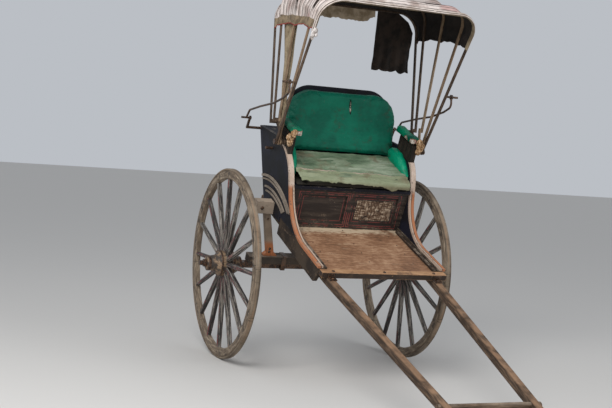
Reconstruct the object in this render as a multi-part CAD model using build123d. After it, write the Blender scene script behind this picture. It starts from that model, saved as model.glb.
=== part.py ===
from build123d import *
import os
from math import atan2, cos, degrees, radians, sin, tan

# Hand-pulled rickshaw, millimetres. The front is -Y, +Z is up and +X is its left side.
# Everything on the body is drawn level, as when it is pulled, with the axle at
# y = 0, z = WHEEL_RADIUS. park() then tips it forward about the axle until the shaft tips
# stand on the floor, and moves the origin under the middle of the whole vehicle.

# Driving sizes
WHEEL_RADIUS = 550
TRACK = 1178
PARK_TILT = 20
RUNNING_GAP = 0.05
PLAY = 0.3

# Wheels
SPOKE_COUNT = 16
TYRE_DEPTH = 14
TYRE_WIDTH = 30
FELLOE_DEPTH = 46
FELLOE_WIDTH = 36
NAVE_RADIUS = 75
NAVE_NOSE_RADIUS = 40
NAVE_INNER = 92
NAVE_OUTER = 112
SPOKE_ROOT = (32, 26)
SPOKE_TIP = (26, 20)
SPOKE_CHAMFER = 6

# Axle and what stands on it
AXLE_RADIUS = 14
AXLE_BAR = 34
AXLE_NUT_RADIUS = 22
AXLE_NUT_LENGTH = 18
AXLE_END = 24
BED_WIDTH = 62
BED_HEIGHT = 46
BED_BEYOND_POST = 132
POST_FOOT_X = 325
POST_TOP_X = 396
POST_WIDTH = 40
POST_DEPTH = 30
FOOT_WIDTH = 84
FOOT_HEIGHT = 12
BEARER_HALF_LENGTH = 476
BEARER_DEPTH = 56
BEARER_HEIGHT = 72

# Shafts and chassis, all measured from the top of the shafts
SHAFT_TOP = WHEEL_RADIUS + 338
SHAFT_HEIGHT = 46
SHAFT_WIDTH = 42
SHAFT_X = 320
SHAFT_TIP_X = 226
SHAFT_REAR = 250
SHAFT_BEND_Y = -770
SHAFT_BEND_RADIUS = 2600
SHAFT_DROP_HEIGHT = 118
SHAFT_DROP_RADIUS = 110
CROSSBAR_RADIUS = 17
CROSSBAR_BACK = 150
CROSSBAR_OVERHANG = 34
BAR_FRONT = -812
BAR_DEPTH = 44
BAR_HEIGHT = 30
BAR_HALF_LENGTH = 370
FLOOR_THICKNESS = 15
FLOOR_BOARDS = 5
BOARD_GAP = 2
SILL_THICKNESS = 24
SILL_TOP = SHAFT_TOP + 34
SILL_DROP = 106
SILL_REAR = -135
SILL_RAKE = 60
CLAMP_WIDTH = 34
CLAMP_THICKNESS = 6

# Body. The seat board's height carries the arms, the backrest and the hood
SEAT_HEIGHT = SHAFT_TOP + 252
PANEL_INNER = 350
PANEL_THICKNESS = 20
PANEL_FLARE = 3.3
SCROLL_LOWER_RADIUS = 315
SCROLL_UPPER_RADIUS = 213
SCROLL_LOWER_START = -520
SCROLL_RISE = 179
SCROLL_SLOPE = 65
SCROLL_TOP_SLOPE = 10
ARM_CREST_Y = 60
ARM_CREST_Z = SEAT_HEIGHT + 192
REAR_TOP_Y = 372
REAR_TOP_Z = SEAT_HEIGHT + 143
REAR_FOOT_Y = 138
MOULDING_WIDTH = 31
MOULDING_DEPTH = 14
# Raised arcs on the panel, as (distance inside the tyre, width, degrees forward, degrees back)
ARCHES = ((15, 14, 31, 24), (39, 8, 29, 23), (80, 10, 24, 18), (106, 8, 22, 16))
ARCH_PROUD = 8
SEAT_FRONT = -222
SEAT_FRONT_THICKNESS = 22
SEAT_BOARD = 18
SEAT_NOSING = 13
STILE_WIDTH = 46
RECESS = 8
SIDE_GAP = 0.3
BACK_THICKNESS = 18
SHELF_THICKNESS = 16

# Cushions
SOFT_GAP = 0.4
CUSHION_FRONT = -245
CUSHION_FRONT_HEIGHT = 50
BACKREST_LEAN = 17
BACKREST_FOOT_Y = 47
BACKREST_FOOT_Z = SEAT_HEIGHT + 122
BACKREST_HALF_WIDTH = 334
BACKREST_TOP = SEAT_HEIGHT + 466
BACKREST_CORNER = 150
BACKREST_PAD = 76
BACKREST_BOARD = 15
BOLSTER_WIDTH = 56
BOLSTER_DEPTH = 74
BOLSTER_LIFT = 10
ARM_BLOCK_RISE = 62
ARM_BLOCK_WIDTH = 30
ARM_BLOCK_FRONT = -122
ARM_BLOCK_REAR = 60
ARM_PAD_HEIGHT = 44
ARM_PAD_WIDTH = 58

# Hood: five bows on common pins. The legs of the rear three stand behind the pin on cranked
# iron feet, which are stacked along the pin.
HOOD_PIVOT_Y = -73
HOOD_PIVOT_Z = SEAT_HEIGHT + 208
# Each bow from the rear, as (degrees forward, top above the pin, how far behind the pin)
BOWS = ((-23.6, 820, 119), (-19.1, 870, 80), (-6.8, 887, 31), (7.4, 902, 0), (14.9, 917, 0))
BOW_HALF_WIDTH = 465
BOW_INNER_HALF_WIDTH = 455
BOW_THICKNESS = 7
BOW_WIDTH = 20
BOW_CORNER = 120
FOOT_PITCH = 12
FOOT_RISE = 110
FOOT_STEP = 22
FOOT_EYE_RADIUS = 15
PIN_RADIUS = 8
PIN_HEAD_RADIUS = 15
PIN_HEAD_LENGTH = 6
CLOTH_THICKNESS = 3
CLOTH_GAP = 0.5
CLOTH_PITCH = 8
# Where each cloth's lower edge is above the pin, from the rear
CLOTH_FOOT = (645, 640, 670, 700)
# The curtain's upper edge from its inner end to the leg, as (x, below the bar)
CURTAIN_EDGE = ((190, 0), (330, 0), (400, 45), (436, 105))
CURTAIN_LENGTH = 345
CURTAIN_LEAN = 7.9

# Hood stays: curved iron rods with a cross handle at each end
STAY_RADIUS = 6
STAY_PIVOT_RADIUS = 393
STAY_GAP = 28
STAY_EYE_RADIUS = 14
STAY_EYE_THICKNESS = 10
STAY_PIN_RADIUS = 6
STAY_PIN_LENGTH = 74
STAY_HANDLE = 62
# The rod's bends, as (back, up) from its pin
STAY_ROUTE = ((0, 0), (-26, -50), (40, -105), (160, -178), (334, -260), (486, -338), (516, -396))
LUG_RADIUS = 8
LUG_ROOT = 12
# Iron lugs on the side panel, as (y, z, where they end in x). The first carries the hook.
LUGS = ((356, SEAT_HEIGHT + 128, 482), (126, SEAT_HEIGHT + 94, 432))
HOOK_RADIUS = 12
HOOK_WIDTH = 12
HOOK_OPENS = 30

AXLE = Axis((0, 0, WHEEL_RADIUS), (1, 0, 0))
parts = {}


def slab(x0, x1, y0, y1, z0, z1):
    """A box between two corners."""
    return Pos((x0 + x1) / 2, (y0 + y1) / 2, (z0 + z1) / 2) * Box(x1 - x0, y1 - y0, z1 - z0)


def side_plate(outline, x0, x1):
    """A plate with an outline in Y and Z, from x0 to x1. The outline is a list of edges or points."""
    wire = outline if isinstance(outline, Wire) else Wire.make_polygon([(0, y, z) for y, z in outline])
    return Pos(x0, 0, 0) * extrude(Face(wire), amount=x1 - x0, dir=(1, 0, 0))


def mirrored(solid):
    """The same piece on the right side, -X."""
    return mirror(solid, about=Plane.YZ)


def flare(solid):
    """Leans a piece of the left side panel outwards about the panel's foot."""
    return solid.rotate(Axis((PANEL_INNER, 0, SILL_TOP), (0, 1, 0)), PANEL_FLARE)


def panel_x(z):
    """Where the left panel's inner face is at a height."""
    return PANEL_INNER + (z - SILL_TOP) * tan(radians(PANEL_FLARE))


def between_panels(y0, y1, z0, z1, gap=SIDE_GAP):
    """A board that fills the width between the two leaning side panels."""
    low = panel_x(z0) - gap
    high = panel_x(z1) - gap
    wire = Wire.make_polygon([(-low, y0, z0), (low, y0, z0), (high, y0, z1), (-high, y0, z1)])
    return extrude(Face(wire), amount=y1 - y0, dir=(0, 1, 0))


def joined(*solids):
    """One piece from several that meet face to face."""
    whole = solids[0]
    for solid in solids[1:]:
        whole = whole + solid
    return whole


def both(name, left):
    """Adds a left piece and its mirror image."""
    parts[name + "_left"] = left
    parts[name + "_right"] = mirrored(left)


# Wheel: iron-bound nave, sixteen tapered spokes, felloe ring and a strip tyre
felloe_outer = WHEEL_RADIUS - TYRE_DEPTH
felloe_inner = felloe_outer - FELLOE_DEPTH


def turned(profile):
    """A solid of revolution about the X axis from (x, radius) points."""
    wire = Wire.make_polygon([(x, radius, 0) for x, radius in profile])
    return revolve(Face(wire), Axis.X)


def ring(outer, inner, width, chamfer_size):
    half = width / 2
    edge = half - chamfer_size
    return turned(
        [(-half, inner + chamfer_size), (-edge, inner), (edge, inner), (half, inner + chamfer_size),
         (half, outer - chamfer_size), (edge, outer), (-edge, outer), (-half, outer - chamfer_size)]
    )


def nave():
    bore = AXLE_RADIUS + RUNNING_GAP
    nose = NAVE_NOSE_RADIUS
    return turned(
        [(-NAVE_INNER, bore), (-NAVE_INNER, nose), (-NAVE_INNER + 14, nose + 4), (-40, NAVE_RADIUS - 6),
         (-32, NAVE_RADIUS), (32, NAVE_RADIUS), (40, NAVE_RADIUS - 6), (62, nose + 8),
         (NAVE_OUTER - 14, nose + 2), (NAVE_OUTER, nose - 3), (NAVE_OUTER, bore)]
    )


def spoke_section(width, depth, height):
    """A rectangle with its corners taken off, at a height up the spoke."""
    x, y = width / 2, depth / 2
    cut = SPOKE_CHAMFER
    corners = [
        (x, cut - y), (x, y - cut), (x - cut, y), (cut - x, y), (-x, y - cut), (-x, cut - y), (cut - x, -y), (x - cut, -y),
    ]
    return Face(Wire.make_polygon([(a, b, height) for a, b in corners]))


def spokes():
    blank = loft([spoke_section(*SPOKE_ROOT, NAVE_RADIUS - 5), spoke_section(*SPOKE_TIP, felloe_inner + 5)])
    reach = Rot(0, 90, 0) * (Cylinder(felloe_inner, SPOKE_ROOT[0] + 2) - Cylinder(NAVE_RADIUS, SPOKE_ROOT[0] + 4))
    spoke = blank & reach
    return Compound([spoke.rotate(Axis.X, 360 / SPOKE_COUNT * i) for i in range(SPOKE_COUNT)])


def wheel(piece):
    return Pos(TRACK / 2, 0, WHEEL_RADIUS) * piece


both("wheel_nave", wheel(nave()))
both("wheel_spokes", wheel(spokes()))
both("wheel_felloe", wheel(ring(felloe_outer, felloe_inner, FELLOE_WIDTH, 6)))
both("wheel_tyre", wheel(ring(WHEEL_RADIUS, felloe_outer, TYRE_WIDTH, 4)))

# Axle: a square bar with round journals, and a nut outside each nave
nave_in = TRACK / 2 - NAVE_INNER - PLAY
nave_out = TRACK / 2 + NAVE_OUTER + PLAY
axle_half = nave_out + AXLE_NUT_LENGTH + AXLE_END
journal = Rot(0, 90, 0) * Cylinder(AXLE_RADIUS, 2 * axle_half)
square = Box(2 * nave_in, AXLE_BAR, AXLE_BAR)
nut = Pos(nave_out + AXLE_NUT_LENGTH / 2, 0, 0) * Rot(0, 90, 0) * Cylinder(AXLE_NUT_RADIUS, AXLE_NUT_LENGTH)
parts["axle"] = Pos(0, 0, WHEEL_RADIUS) * joined(journal, square, nut, mirrored(nut))

# Axle bed, the two leaning posts on it and the bearer that they carry
bed_foot = WHEEL_RADIUS + AXLE_BAR / 2
bed_top = bed_foot + BED_HEIGHT
bed_half = POST_FOOT_X + BED_BEYOND_POST
parts["axle_bed"] = slab(-bed_half, bed_half, -BED_WIDTH / 2, BED_WIDTH / 2, bed_foot, bed_top)
post_outline = [
    (POST_FOOT_X - FOOT_WIDTH / 2, bed_top), (POST_FOOT_X + FOOT_WIDTH / 2, bed_top),
    (POST_FOOT_X + FOOT_WIDTH / 2, bed_top + FOOT_HEIGHT / 2), (POST_FOOT_X + POST_WIDTH / 2 + 6, bed_top + 22),
    (POST_TOP_X + POST_WIDTH / 2, SHAFT_TOP), (POST_TOP_X - POST_WIDTH / 2, SHAFT_TOP),
    (POST_FOOT_X - POST_WIDTH / 2, bed_top + 22), (POST_FOOT_X - FOOT_WIDTH / 2, bed_top + FOOT_HEIGHT / 2),
]
post_face = Face(Wire.make_polygon([(x, POST_DEPTH / 2, z) for x, z in post_outline]))
both("post", extrude(post_face, amount=POST_DEPTH, dir=(0, -1, 0)))
bearer_top = SHAFT_TOP + BEARER_HEIGHT
parts["bearer"] = slab(
    -BEARER_HALF_LENGTH, BEARER_HALF_LENGTH, -BEARER_DEPTH / 2, BEARER_DEPTH / 2, SHAFT_TOP, bearer_top
)

# Shafts: straight under the body, drawn together towards the tips, which turn down to the floor
shaft_z = SHAFT_TOP - SHAFT_HEIGHT / 2
sin_tilt = sin(radians(PARK_TILT))
cos_tilt = cos(radians(PARK_TILT))
drop_y = (SHAFT_DROP_HEIGHT - WHEEL_RADIUS - (shaft_z - WHEEL_RADIUS) * cos_tilt) / sin_tilt
drop_length = SHAFT_DROP_HEIGHT + 40


def shaft():
    route = FilletPolyline(
        (SHAFT_X, SHAFT_REAR, shaft_z), (SHAFT_X, SHAFT_BEND_Y, shaft_z), (SHAFT_TIP_X, drop_y, shaft_z),
        radius=SHAFT_BEND_RADIUS,
    )
    section = Plane((SHAFT_X, SHAFT_REAR, shaft_z), x_dir=(1, 0, 0), z_dir=(0, -1, 0))
    straight = sweep(section * RectangleRounded(SHAFT_WIDTH, SHAFT_HEIGHT, 9), route)
    turn = 90 - PARK_TILT
    run = Vector(SHAFT_TIP_X - SHAFT_X, drop_y - SHAFT_BEND_Y, 0).normalized()
    end = Plane((SHAFT_TIP_X, drop_y, shaft_z), x_dir=run.cross(Vector(0, 0, -1)), z_dir=run)
    hinge = Axis(end.origin + Vector(0, 0, -SHAFT_DROP_RADIUS), run.cross(Vector(0, 0, -1)))
    curve = revolve(end * RectangleRounded(SHAFT_WIDTH, SHAFT_HEIGHT, 9), hinge, turn)
    down = faces_at_end(curve, end, hinge, turn)
    return joined(straight, curve, down)


def faces_at_end(curve, end, hinge, turn):
    """The straight stub after the shaft's turned-down curve."""
    face = (end * RectangleRounded(SHAFT_WIDTH, SHAFT_HEIGHT, 9)).rotate(hinge, turn)
    direction = end.z_dir.rotate(Axis((0, 0, 0), hinge.direction), turn)
    return extrude(face, amount=drop_length, dir=direction)


shaft_left = shaft().rotate(AXLE, PARK_TILT)
below_floor = Pos(0, 0, -500) * Box(8000, 8000, 1000)
shaft_left = shaft_left - below_floor
both("shaft", shaft_left.rotate(AXLE, -PARK_TILT))

# Round crossbar between the shafts, just behind the turned-down tips
crossbar_y = drop_y + CROSSBAR_BACK
crossbar_x = SHAFT_TIP_X + (SHAFT_X - SHAFT_TIP_X) * CROSSBAR_BACK / (SHAFT_BEND_Y - drop_y)
crossbar = Pos(0, crossbar_y, shaft_z) * Rot(0, 90, 0) * Cylinder(CROSSBAR_RADIUS, 2 * (crossbar_x + CROSSBAR_OVERHANG))
parts["shaft_crossbar"] = crossbar
bore = Pos(0, crossbar_y, shaft_z) * Rot(0, 90, 0) * Cylinder(CROSSBAR_RADIUS, 4 * crossbar_x)
parts["shaft_left"] = parts["shaft_left"] - bore
parts["shaft_right"] = parts["shaft_right"] - bore

# Front bar on the shafts, with an iron clamp over each shaft in front of it
bar_rear = BAR_FRONT + BAR_DEPTH
bar_top = SHAFT_TOP + BAR_HEIGHT
parts["front_bar"] = slab(-BAR_HALF_LENGTH, BAR_HALF_LENGTH, BAR_FRONT, bar_rear, SHAFT_TOP, bar_top)
clamp = slab(
    SHAFT_X - SHAFT_WIDTH / 2 - 6, SHAFT_X + SHAFT_WIDTH / 2 - 6,
    BAR_FRONT - CLAMP_WIDTH, BAR_FRONT, SHAFT_TOP, SHAFT_TOP + CLAMP_THICKNESS,
)
clamp = clamp + slab(
    SHAFT_X - SHAFT_WIDTH / 2 - 6, SHAFT_X + SHAFT_WIDTH / 2 - 6,
    BAR_FRONT - CLAMP_THICKNESS, BAR_FRONT, SHAFT_TOP, bar_top,
)
both("shaft_clamp", clamp)

# Floor boards laid across the shafts from the front bar to the seat box
board_depth = (SEAT_FRONT - bar_rear - BOARD_GAP * (FLOOR_BOARDS - 1)) / FLOOR_BOARDS
floor_half = SHAFT_X + SHAFT_WIDTH / 2 - 1
floor_top = SHAFT_TOP + FLOOR_THICKNESS
boards = []
for i in range(FLOOR_BOARDS):
    y = bar_rear + i * (board_depth + BOARD_GAP)
    boards.append(slab(-floor_half, floor_half, y, y + board_depth, SHAFT_TOP, floor_top))
parts["floor_boards"] = Compound(boards)

# Sill boards on the outer faces of the shafts, their front ends raked
sill_in = SHAFT_X + SHAFT_WIDTH / 2
sill_out = sill_in + SILL_THICKNESS
sill = side_plate(
    [(SILL_REAR, SILL_TOP), (bar_rear, SILL_TOP), (bar_rear + SILL_RAKE, SILL_TOP - SILL_DROP), (SILL_REAR, SILL_TOP - SILL_DROP)],
    sill_in, sill_out,
)
both("sill", sill)

# Side panels, their scroll-shaped front edge made of two arcs and the straight between them
slope = radians(SCROLL_SLOPE)
top_slope = radians(SCROLL_TOP_SLOPE)
lower_end = (
    SCROLL_LOWER_START + SCROLL_LOWER_RADIUS * sin(slope),
    SILL_TOP + SCROLL_LOWER_RADIUS * (1 - cos(slope)),
)
upper_start_z = SEAT_HEIGHT + SCROLL_RISE - SCROLL_UPPER_RADIUS * (cos(top_slope) - cos(slope))
upper_start = (lower_end[0] + (upper_start_z - lower_end[1]) / tan(slope), upper_start_z)
upper_end = (
    upper_start[0] + SCROLL_UPPER_RADIUS * (sin(slope) - sin(top_slope)),
    SEAT_HEIGHT + SCROLL_RISE,
)


def scroll_edges(offset, start_y):
    """The scroll as edges, moved out from the panel by offset, from start_y to its top."""
    lower = SCROLL_LOWER_RADIUS - offset
    upper = SCROLL_UPPER_RADIUS + offset
    centre_low = Vector(0, SCROLL_LOWER_START, SILL_TOP + SCROLL_LOWER_RADIUS)
    centre_high = Vector(
        0, upper_start[0] + SCROLL_UPPER_RADIUS * sin(slope), upper_start[1] - SCROLL_UPPER_RADIUS * cos(slope)
    )

    def low(angle):
        return centre_low + Vector(0, lower * sin(angle), -lower * cos(angle))

    def high(angle):
        return centre_high + Vector(0, -upper * sin(angle), upper * cos(angle))

    foot = Vector(0, start_y, SILL_TOP + offset)
    return [
        Edge.make_line(foot, low(0)),
        Edge.make_three_point_arc(low(0), low(slope / 2), low(slope)),
        Edge.make_line(low(slope), high(slope)),
        Edge.make_three_point_arc(high(slope), high((slope + top_slope) / 2), high(top_slope)),
    ]


front = scroll_edges(0, SCROLL_LOWER_START - 60)
outline = [
    (ARM_CREST_Y, ARM_CREST_Z), (REAR_TOP_Y, REAR_TOP_Z), (REAR_FOOT_Y, SHAFT_TOP),
    (SILL_REAR, SHAFT_TOP), (SILL_REAR, SILL_TOP),
]
loop = [Vector(0, *upper_end)] + [Vector(0, y, z) for y, z in outline] + [front[0] @ 0]
closing = [Edge.make_line(a, b) for a, b in zip(loop, loop[1:])]
panel = side_plate(Wire(front + closing), PANEL_INNER, PANEL_INNER + PANEL_THICKNESS)
panel = flare(panel) - parts["bearer"] - parts["sill_left"]
both("side_panel", panel)

# The painted moulding that runs along the sill and up the scroll
inner_line = scroll_edges(0, bar_rear)
outer_line = scroll_edges(MOULDING_DEPTH, bar_rear)
ends = [Edge.make_line(inner_line[0] @ 0, outer_line[0] @ 0), Edge.make_line(inner_line[-1] @ 1, outer_line[-1] @ 1)]
band = side_plate(Wire(inner_line + outer_line + ends), PANEL_INNER, PANEL_INNER + MOULDING_WIDTH)
both("moulding", flare(band) - parts["sill_left"])

# Raised arcs on the outer face of the panel, struck from the axle
panel_outer = PANEL_INNER + PANEL_THICKNESS


def arch(radius, width, fore, back):
    """One arc, between angles forward and back of straight up."""
    def at(r, angle):
        return Vector(0, -r * sin(radians(angle)), WHEEL_RADIUS + r * cos(radians(angle)))

    inner = radius - width
    middle = (fore - back) / 2
    edges = [
        Edge.make_three_point_arc(at(radius, -back), at(radius, middle), at(radius, fore)),
        Edge.make_line(at(radius, fore), at(inner, fore)),
        Edge.make_three_point_arc(at(inner, fore), at(inner, middle), at(inner, -back)),
        Edge.make_line(at(inner, -back), at(radius, -back)),
    ]
    return flare(side_plate(Wire(edges), panel_outer, panel_outer + ARCH_PROUD))


both("arch_mouldings", Compound([arch(WHEEL_RADIUS - inside, *row) for inside, *row in ARCHES]))

# Seat box: framed front with two recessed panels, the seat board and the slanting back
seat_rear_drop = (REAR_TOP_Y - REAR_FOOT_Y) / (REAR_TOP_Z - SHAFT_TOP)


def back_y(z):
    """The back panel's outer face at a height."""
    return REAR_FOOT_Y + (z - SHAFT_TOP) * seat_rear_drop


seat_front = between_panels(SEAT_FRONT, SEAT_FRONT + SEAT_FRONT_THICKNESS, SHAFT_TOP, SEAT_HEIGHT)
seat_half = panel_x(SHAFT_TOP)
recess_half = (seat_half - 1.5 * STILE_WIDTH) / 2
recess_centre = recess_half + STILE_WIDTH / 2
recess_low, recess_high = floor_top + 30, SEAT_HEIGHT - 36
for side in (-1, 1):
    seat_front = seat_front - slab(
        side * recess_centre - recess_half, side * recess_centre + recess_half,
        SEAT_FRONT - 1, SEAT_FRONT + RECESS, recess_low, recess_high,
    )
parts["seat_front"] = seat_front - parts["sill_left"] - parts["sill_right"]
back_inner_gap = BACK_THICKNESS / cos(atan2(REAR_TOP_Y - REAR_FOOT_Y, REAR_TOP_Z - SHAFT_TOP))
back_wire = [
    (back_y(SHAFT_TOP) - back_inner_gap, SHAFT_TOP), (back_y(SHAFT_TOP), SHAFT_TOP),
    (REAR_TOP_Y, REAR_TOP_Z), (REAR_TOP_Y - back_inner_gap, REAR_TOP_Z),
]
room = between_panels(-1000, 1000, SHAFT_TOP - 50, BACKREST_TOP + 100)
parts["back_panel"] = side_plate(back_wire, -500, 500) & room
seat_board = between_panels(
    SEAT_FRONT - SEAT_NOSING, back_y(SEAT_HEIGHT) - back_inner_gap, SEAT_HEIGHT, SEAT_HEIGHT + SEAT_BOARD
)
parts["seat_board"] = seat_board

# Backrest board leaning back from the seat board, and the shelf behind it
lean = tan(radians(BACKREST_LEAN))
pad_rear = BACKREST_PAD / cos(radians(BACKREST_LEAN))
board_front = BACKREST_FOOT_Y + pad_rear
seat_top = SEAT_HEIGHT + SEAT_BOARD


def backrest_shape(half_width, top, y_front, thickness, foot):
    """A leaning plate with rounded upper corners, its front face through y_front at the foot height."""
    height = (top - foot) / cos(radians(BACKREST_LEAN))
    corner = BACKREST_CORNER
    lines = [
        Edge.make_line((-half_width, 0, 0), (half_width, 0, 0)),
        Edge.make_line((half_width, 0, 0), (half_width, 0, height - corner)),
        Edge.make_three_point_arc(
            (half_width, 0, height - corner),
            (half_width - corner * (1 - cos(radians(45))), 0, height - corner + corner * sin(radians(45))),
            (half_width - corner, 0, height),
        ),
        Edge.make_line((half_width - corner, 0, height), (corner - half_width, 0, height)),
        Edge.make_three_point_arc(
            (corner - half_width, 0, height),
            (corner * (1 - cos(radians(45))) - half_width, 0, height - corner + corner * sin(radians(45))),
            (-half_width, 0, height - corner),
        ),
        Edge.make_line((-half_width, 0, height - corner), (-half_width, 0, 0)),
    ]
    plate = extrude(Face(Wire(lines)), amount=thickness, dir=(0, 1, 0))
    plate = plate.rotate(Axis.X, -BACKREST_LEAN)
    return Pos(0, y_front, foot) * plate


board_foot_y = board_front - (BACKREST_FOOT_Z - seat_top) * lean
board = backrest_shape(BACKREST_HALF_WIDTH, BACKREST_TOP - 8, board_foot_y, BACKREST_BOARD, seat_top)
above_seat = slab(-600, 600, -600, 900, seat_top, 2000)
parts["backrest_board"] = board & above_seat & room
shelf_front = board_front + (REAR_TOP_Z - BACKREST_FOOT_Z) * lean + BACKREST_BOARD / cos(radians(BACKREST_LEAN)) + 1
parts["rear_shelf"] = between_panels(
    shelf_front, REAR_TOP_Y - back_inner_gap - SHELF_THICKNESS * seat_rear_drop, REAR_TOP_Z - SHELF_THICKNESS, REAR_TOP_Z
)

# Cushions: plain closed forms a little clear of what carries them
cushion_rear = BACKREST_FOOT_Y + 40
cushion_half = panel_x(SEAT_HEIGHT) - SOFT_GAP - 2
cushion = side_plate(
    [
        (CUSHION_FRONT, seat_top + SOFT_GAP), (CUSHION_FRONT, seat_top + CUSHION_FRONT_HEIGHT - 14),
        (CUSHION_FRONT + 26, seat_top + CUSHION_FRONT_HEIGHT), (BACKREST_FOOT_Y, BACKREST_FOOT_Z - 6),
        (BACKREST_FOOT_Y - 20, seat_top + SOFT_GAP),
    ],
    -cushion_half, cushion_half,
)
parts["seat_cushion"] = cushion
pad_foot = BACKREST_FOOT_Z
pad = backrest_shape(
    BACKREST_HALF_WIDTH + 4, BACKREST_TOP, BACKREST_FOOT_Y + (pad_foot - BACKREST_FOOT_Z) * lean,
    BACKREST_PAD - SOFT_GAP, pad_foot,
)
parts["backrest_cushion"] = pad & between_panels(-1000, 1000, SHAFT_TOP, BACKREST_TOP + 100, 1)

# Arm bolsters under the scroll, inside the panels
block_foot = ARM_CREST_Z - 36
bolster_outer = scroll_edges(-6, bar_rear)[2:]
bolster_inner = scroll_edges(-6 - BOLSTER_DEPTH, bar_rear)[2:]
bolster_ends = [
    Edge.make_line(bolster_outer[0] @ 0, bolster_inner[0] @ 0),
    Edge.make_line(bolster_outer[-1] @ 1, bolster_inner[-1] @ 1),
]
bolster = side_plate(
    Wire(bolster_outer + bolster_inner + bolster_ends), PANEL_INNER - BOLSTER_WIDTH, PANEL_INNER - SOFT_GAP
)
bolster_foot = seat_top + BOLSTER_LIFT
bolster = flare(bolster) & slab(0, 600, -400, 600, bolster_foot, block_foot - SOFT_GAP)
both("arm_bolster", bolster)
notch = slab(
    PANEL_INNER - BOLSTER_WIDTH - SOFT_GAP, 600, CUSHION_FRONT - 1, bolster.bounding_box().max.Y + SOFT_GAP,
    bolster_foot - SOFT_GAP, BACKREST_TOP,
)
parts["seat_cushion"] = parts["seat_cushion"] - notch - mirrored(notch)

# Arm blocks on the panel tops carry the hood pins and the arm pads
block_top = HOOD_PIVOT_Z + ARM_BLOCK_RISE
block_x = panel_x(HOOD_PIVOT_Z) + PANEL_THICKNESS - ARM_BLOCK_WIDTH + 4
block = slab(block_x, block_x + ARM_BLOCK_WIDTH, ARM_BLOCK_FRONT, ARM_BLOCK_REAR, block_foot, block_top)
block = fillet(block.edges().filter_by(Axis.X).group_by(Axis.Z)[-1], 20)
block = block - parts["side_panel_left"] - flare(band)
pin_in = block_x + ARM_BLOCK_WIDTH
pin_out = BOW_HALF_WIDTH + 3
pin = Pos((pin_in + pin_out) / 2, HOOD_PIVOT_Y, HOOD_PIVOT_Z) * Rot(0, 90, 0) * Cylinder(PIN_RADIUS, pin_out - pin_in)
head = Pos(pin_out + PIN_HEAD_LENGTH / 2, HOOD_PIVOT_Y, HOOD_PIVOT_Z) * Rot(0, 90, 0) * Cylinder(
    PIN_HEAD_RADIUS, PIN_HEAD_LENGTH
)
both("arm_block", block)
both("hood_pin", pin + head)
arm_pad = slab(
    pin_in - ARM_PAD_WIDTH, pin_in, ARM_BLOCK_FRONT - 12, ARM_BLOCK_REAR + 20,
    block_top + SOFT_GAP, block_top + ARM_PAD_HEIGHT,
)
both("arm_pad", fillet(arm_pad.edges().filter_by(Axis.Y).group_by(Axis.Z)[-1], 16))


# Hood: each bow is a flat slat bent to a U, on the common pins
def u_band(half_width, top, foot, thickness):
    """A U-shaped outline in the XZ plane, legs down to foot, as a face."""
    def half_loop(w, h, corner):
        return [
            Edge.make_line((w, 0, foot), (w, 0, h - corner)),
            Edge.make_three_point_arc(
                (w, 0, h - corner),
                (w - corner * (1 - cos(radians(45))), 0, h - corner * (1 - sin(radians(45)))),
                (w - corner, 0, h),
            ),
            Edge.make_line((w - corner, 0, h), (corner - w, 0, h)),
            Edge.make_three_point_arc(
                (corner - w, 0, h),
                (corner * (1 - cos(radians(45))) - w, 0, h - corner * (1 - sin(radians(45)))),
                (-w, 0, h - corner),
            ),
            Edge.make_line((-w, 0, h - corner), (-w, 0, foot)),
        ]

    outside = half_loop(half_width, top, BOW_CORNER)
    inside = half_loop(half_width - thickness, top - thickness, BOW_CORNER - thickness)
    feet = [
        Edge.make_line((half_width, 0, foot), (half_width - thickness, 0, foot)),
        Edge.make_line((-half_width, 0, foot), (thickness - half_width, 0, foot)),
    ]
    return Face(Wire(outside + inside + feet))


def at_pivot(solid, angle):
    """Turns a piece drawn upright at the pivot forward by an angle."""
    return Pos(0, HOOD_PIVOT_Y, HOOD_PIVOT_Z) * solid.rotate(Axis.X, angle)


def slot_x(i):
    """The outer face of a bow's foot on the pin."""
    return BOW_HALF_WIDTH - FOOT_PITCH * (len(BOWS) - 1 - i)


def cranked_foot(i, behind, half_width):
    """The left iron foot that carries a bow's leg behind the pin."""
    outer = slot_x(i)
    inner = outer - BOW_THICKNESS
    rise = FOOT_RISE + FOOT_STEP / 2
    length = (behind ** 2 + rise ** 2) ** 0.5
    middle = Pos((inner + outer) / 2, behind / 2, rise / 2)
    link = middle * Rot(-degrees(atan2(behind, rise)), 0, 0) * Box(BOW_THICKNESS, BOW_WIDTH, length)
    eye = Pos((inner + outer) / 2, 0, 0) * Rot(0, 90, 0) * Cylinder(FOOT_EYE_RADIUS, BOW_THICKNESS)
    step = slab(
        inner, half_width, behind - BOW_WIDTH / 2, behind + BOW_WIDTH / 2, FOOT_RISE, FOOT_RISE + FOOT_STEP
    )
    return link + eye + step


front = len(BOWS) - 1
for i, (angle, top, behind) in enumerate(BOWS):
    half_width = BOW_INNER_HALF_WIDTH if behind else slot_x(i)
    foot = FOOT_RISE if behind else -BOW_WIDTH * 0.7
    bow = Pos(0, behind + BOW_WIDTH / 2, 0) * extrude(
        u_band(half_width, top, foot, BOW_THICKNESS), amount=BOW_WIDTH, dir=(0, -1, 0)
    )
    if behind:
        cranked = cranked_foot(i, behind, half_width)
        bow = bow + cranked + mirrored(cranked)
    bow = bow - Rot(0, 90, 0) * Cylinder(PIN_RADIUS + RUNNING_GAP, 2 * BOW_HALF_WIDTH + 10)
    if i == front:
        middle = BOW_HALF_WIDTH + STAY_PIN_LENGTH / 2
        for side in (-1, 1):
            bow = bow + Pos(side * middle, 0, STAY_PIVOT_RADIUS) * Rot(0, 90, 0) * Cylinder(
                STAY_PIN_RADIUS, STAY_PIN_LENGTH
            )
    parts["hood_bow_%d" % (i + 1)] = at_pivot(bow, angle)

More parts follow.
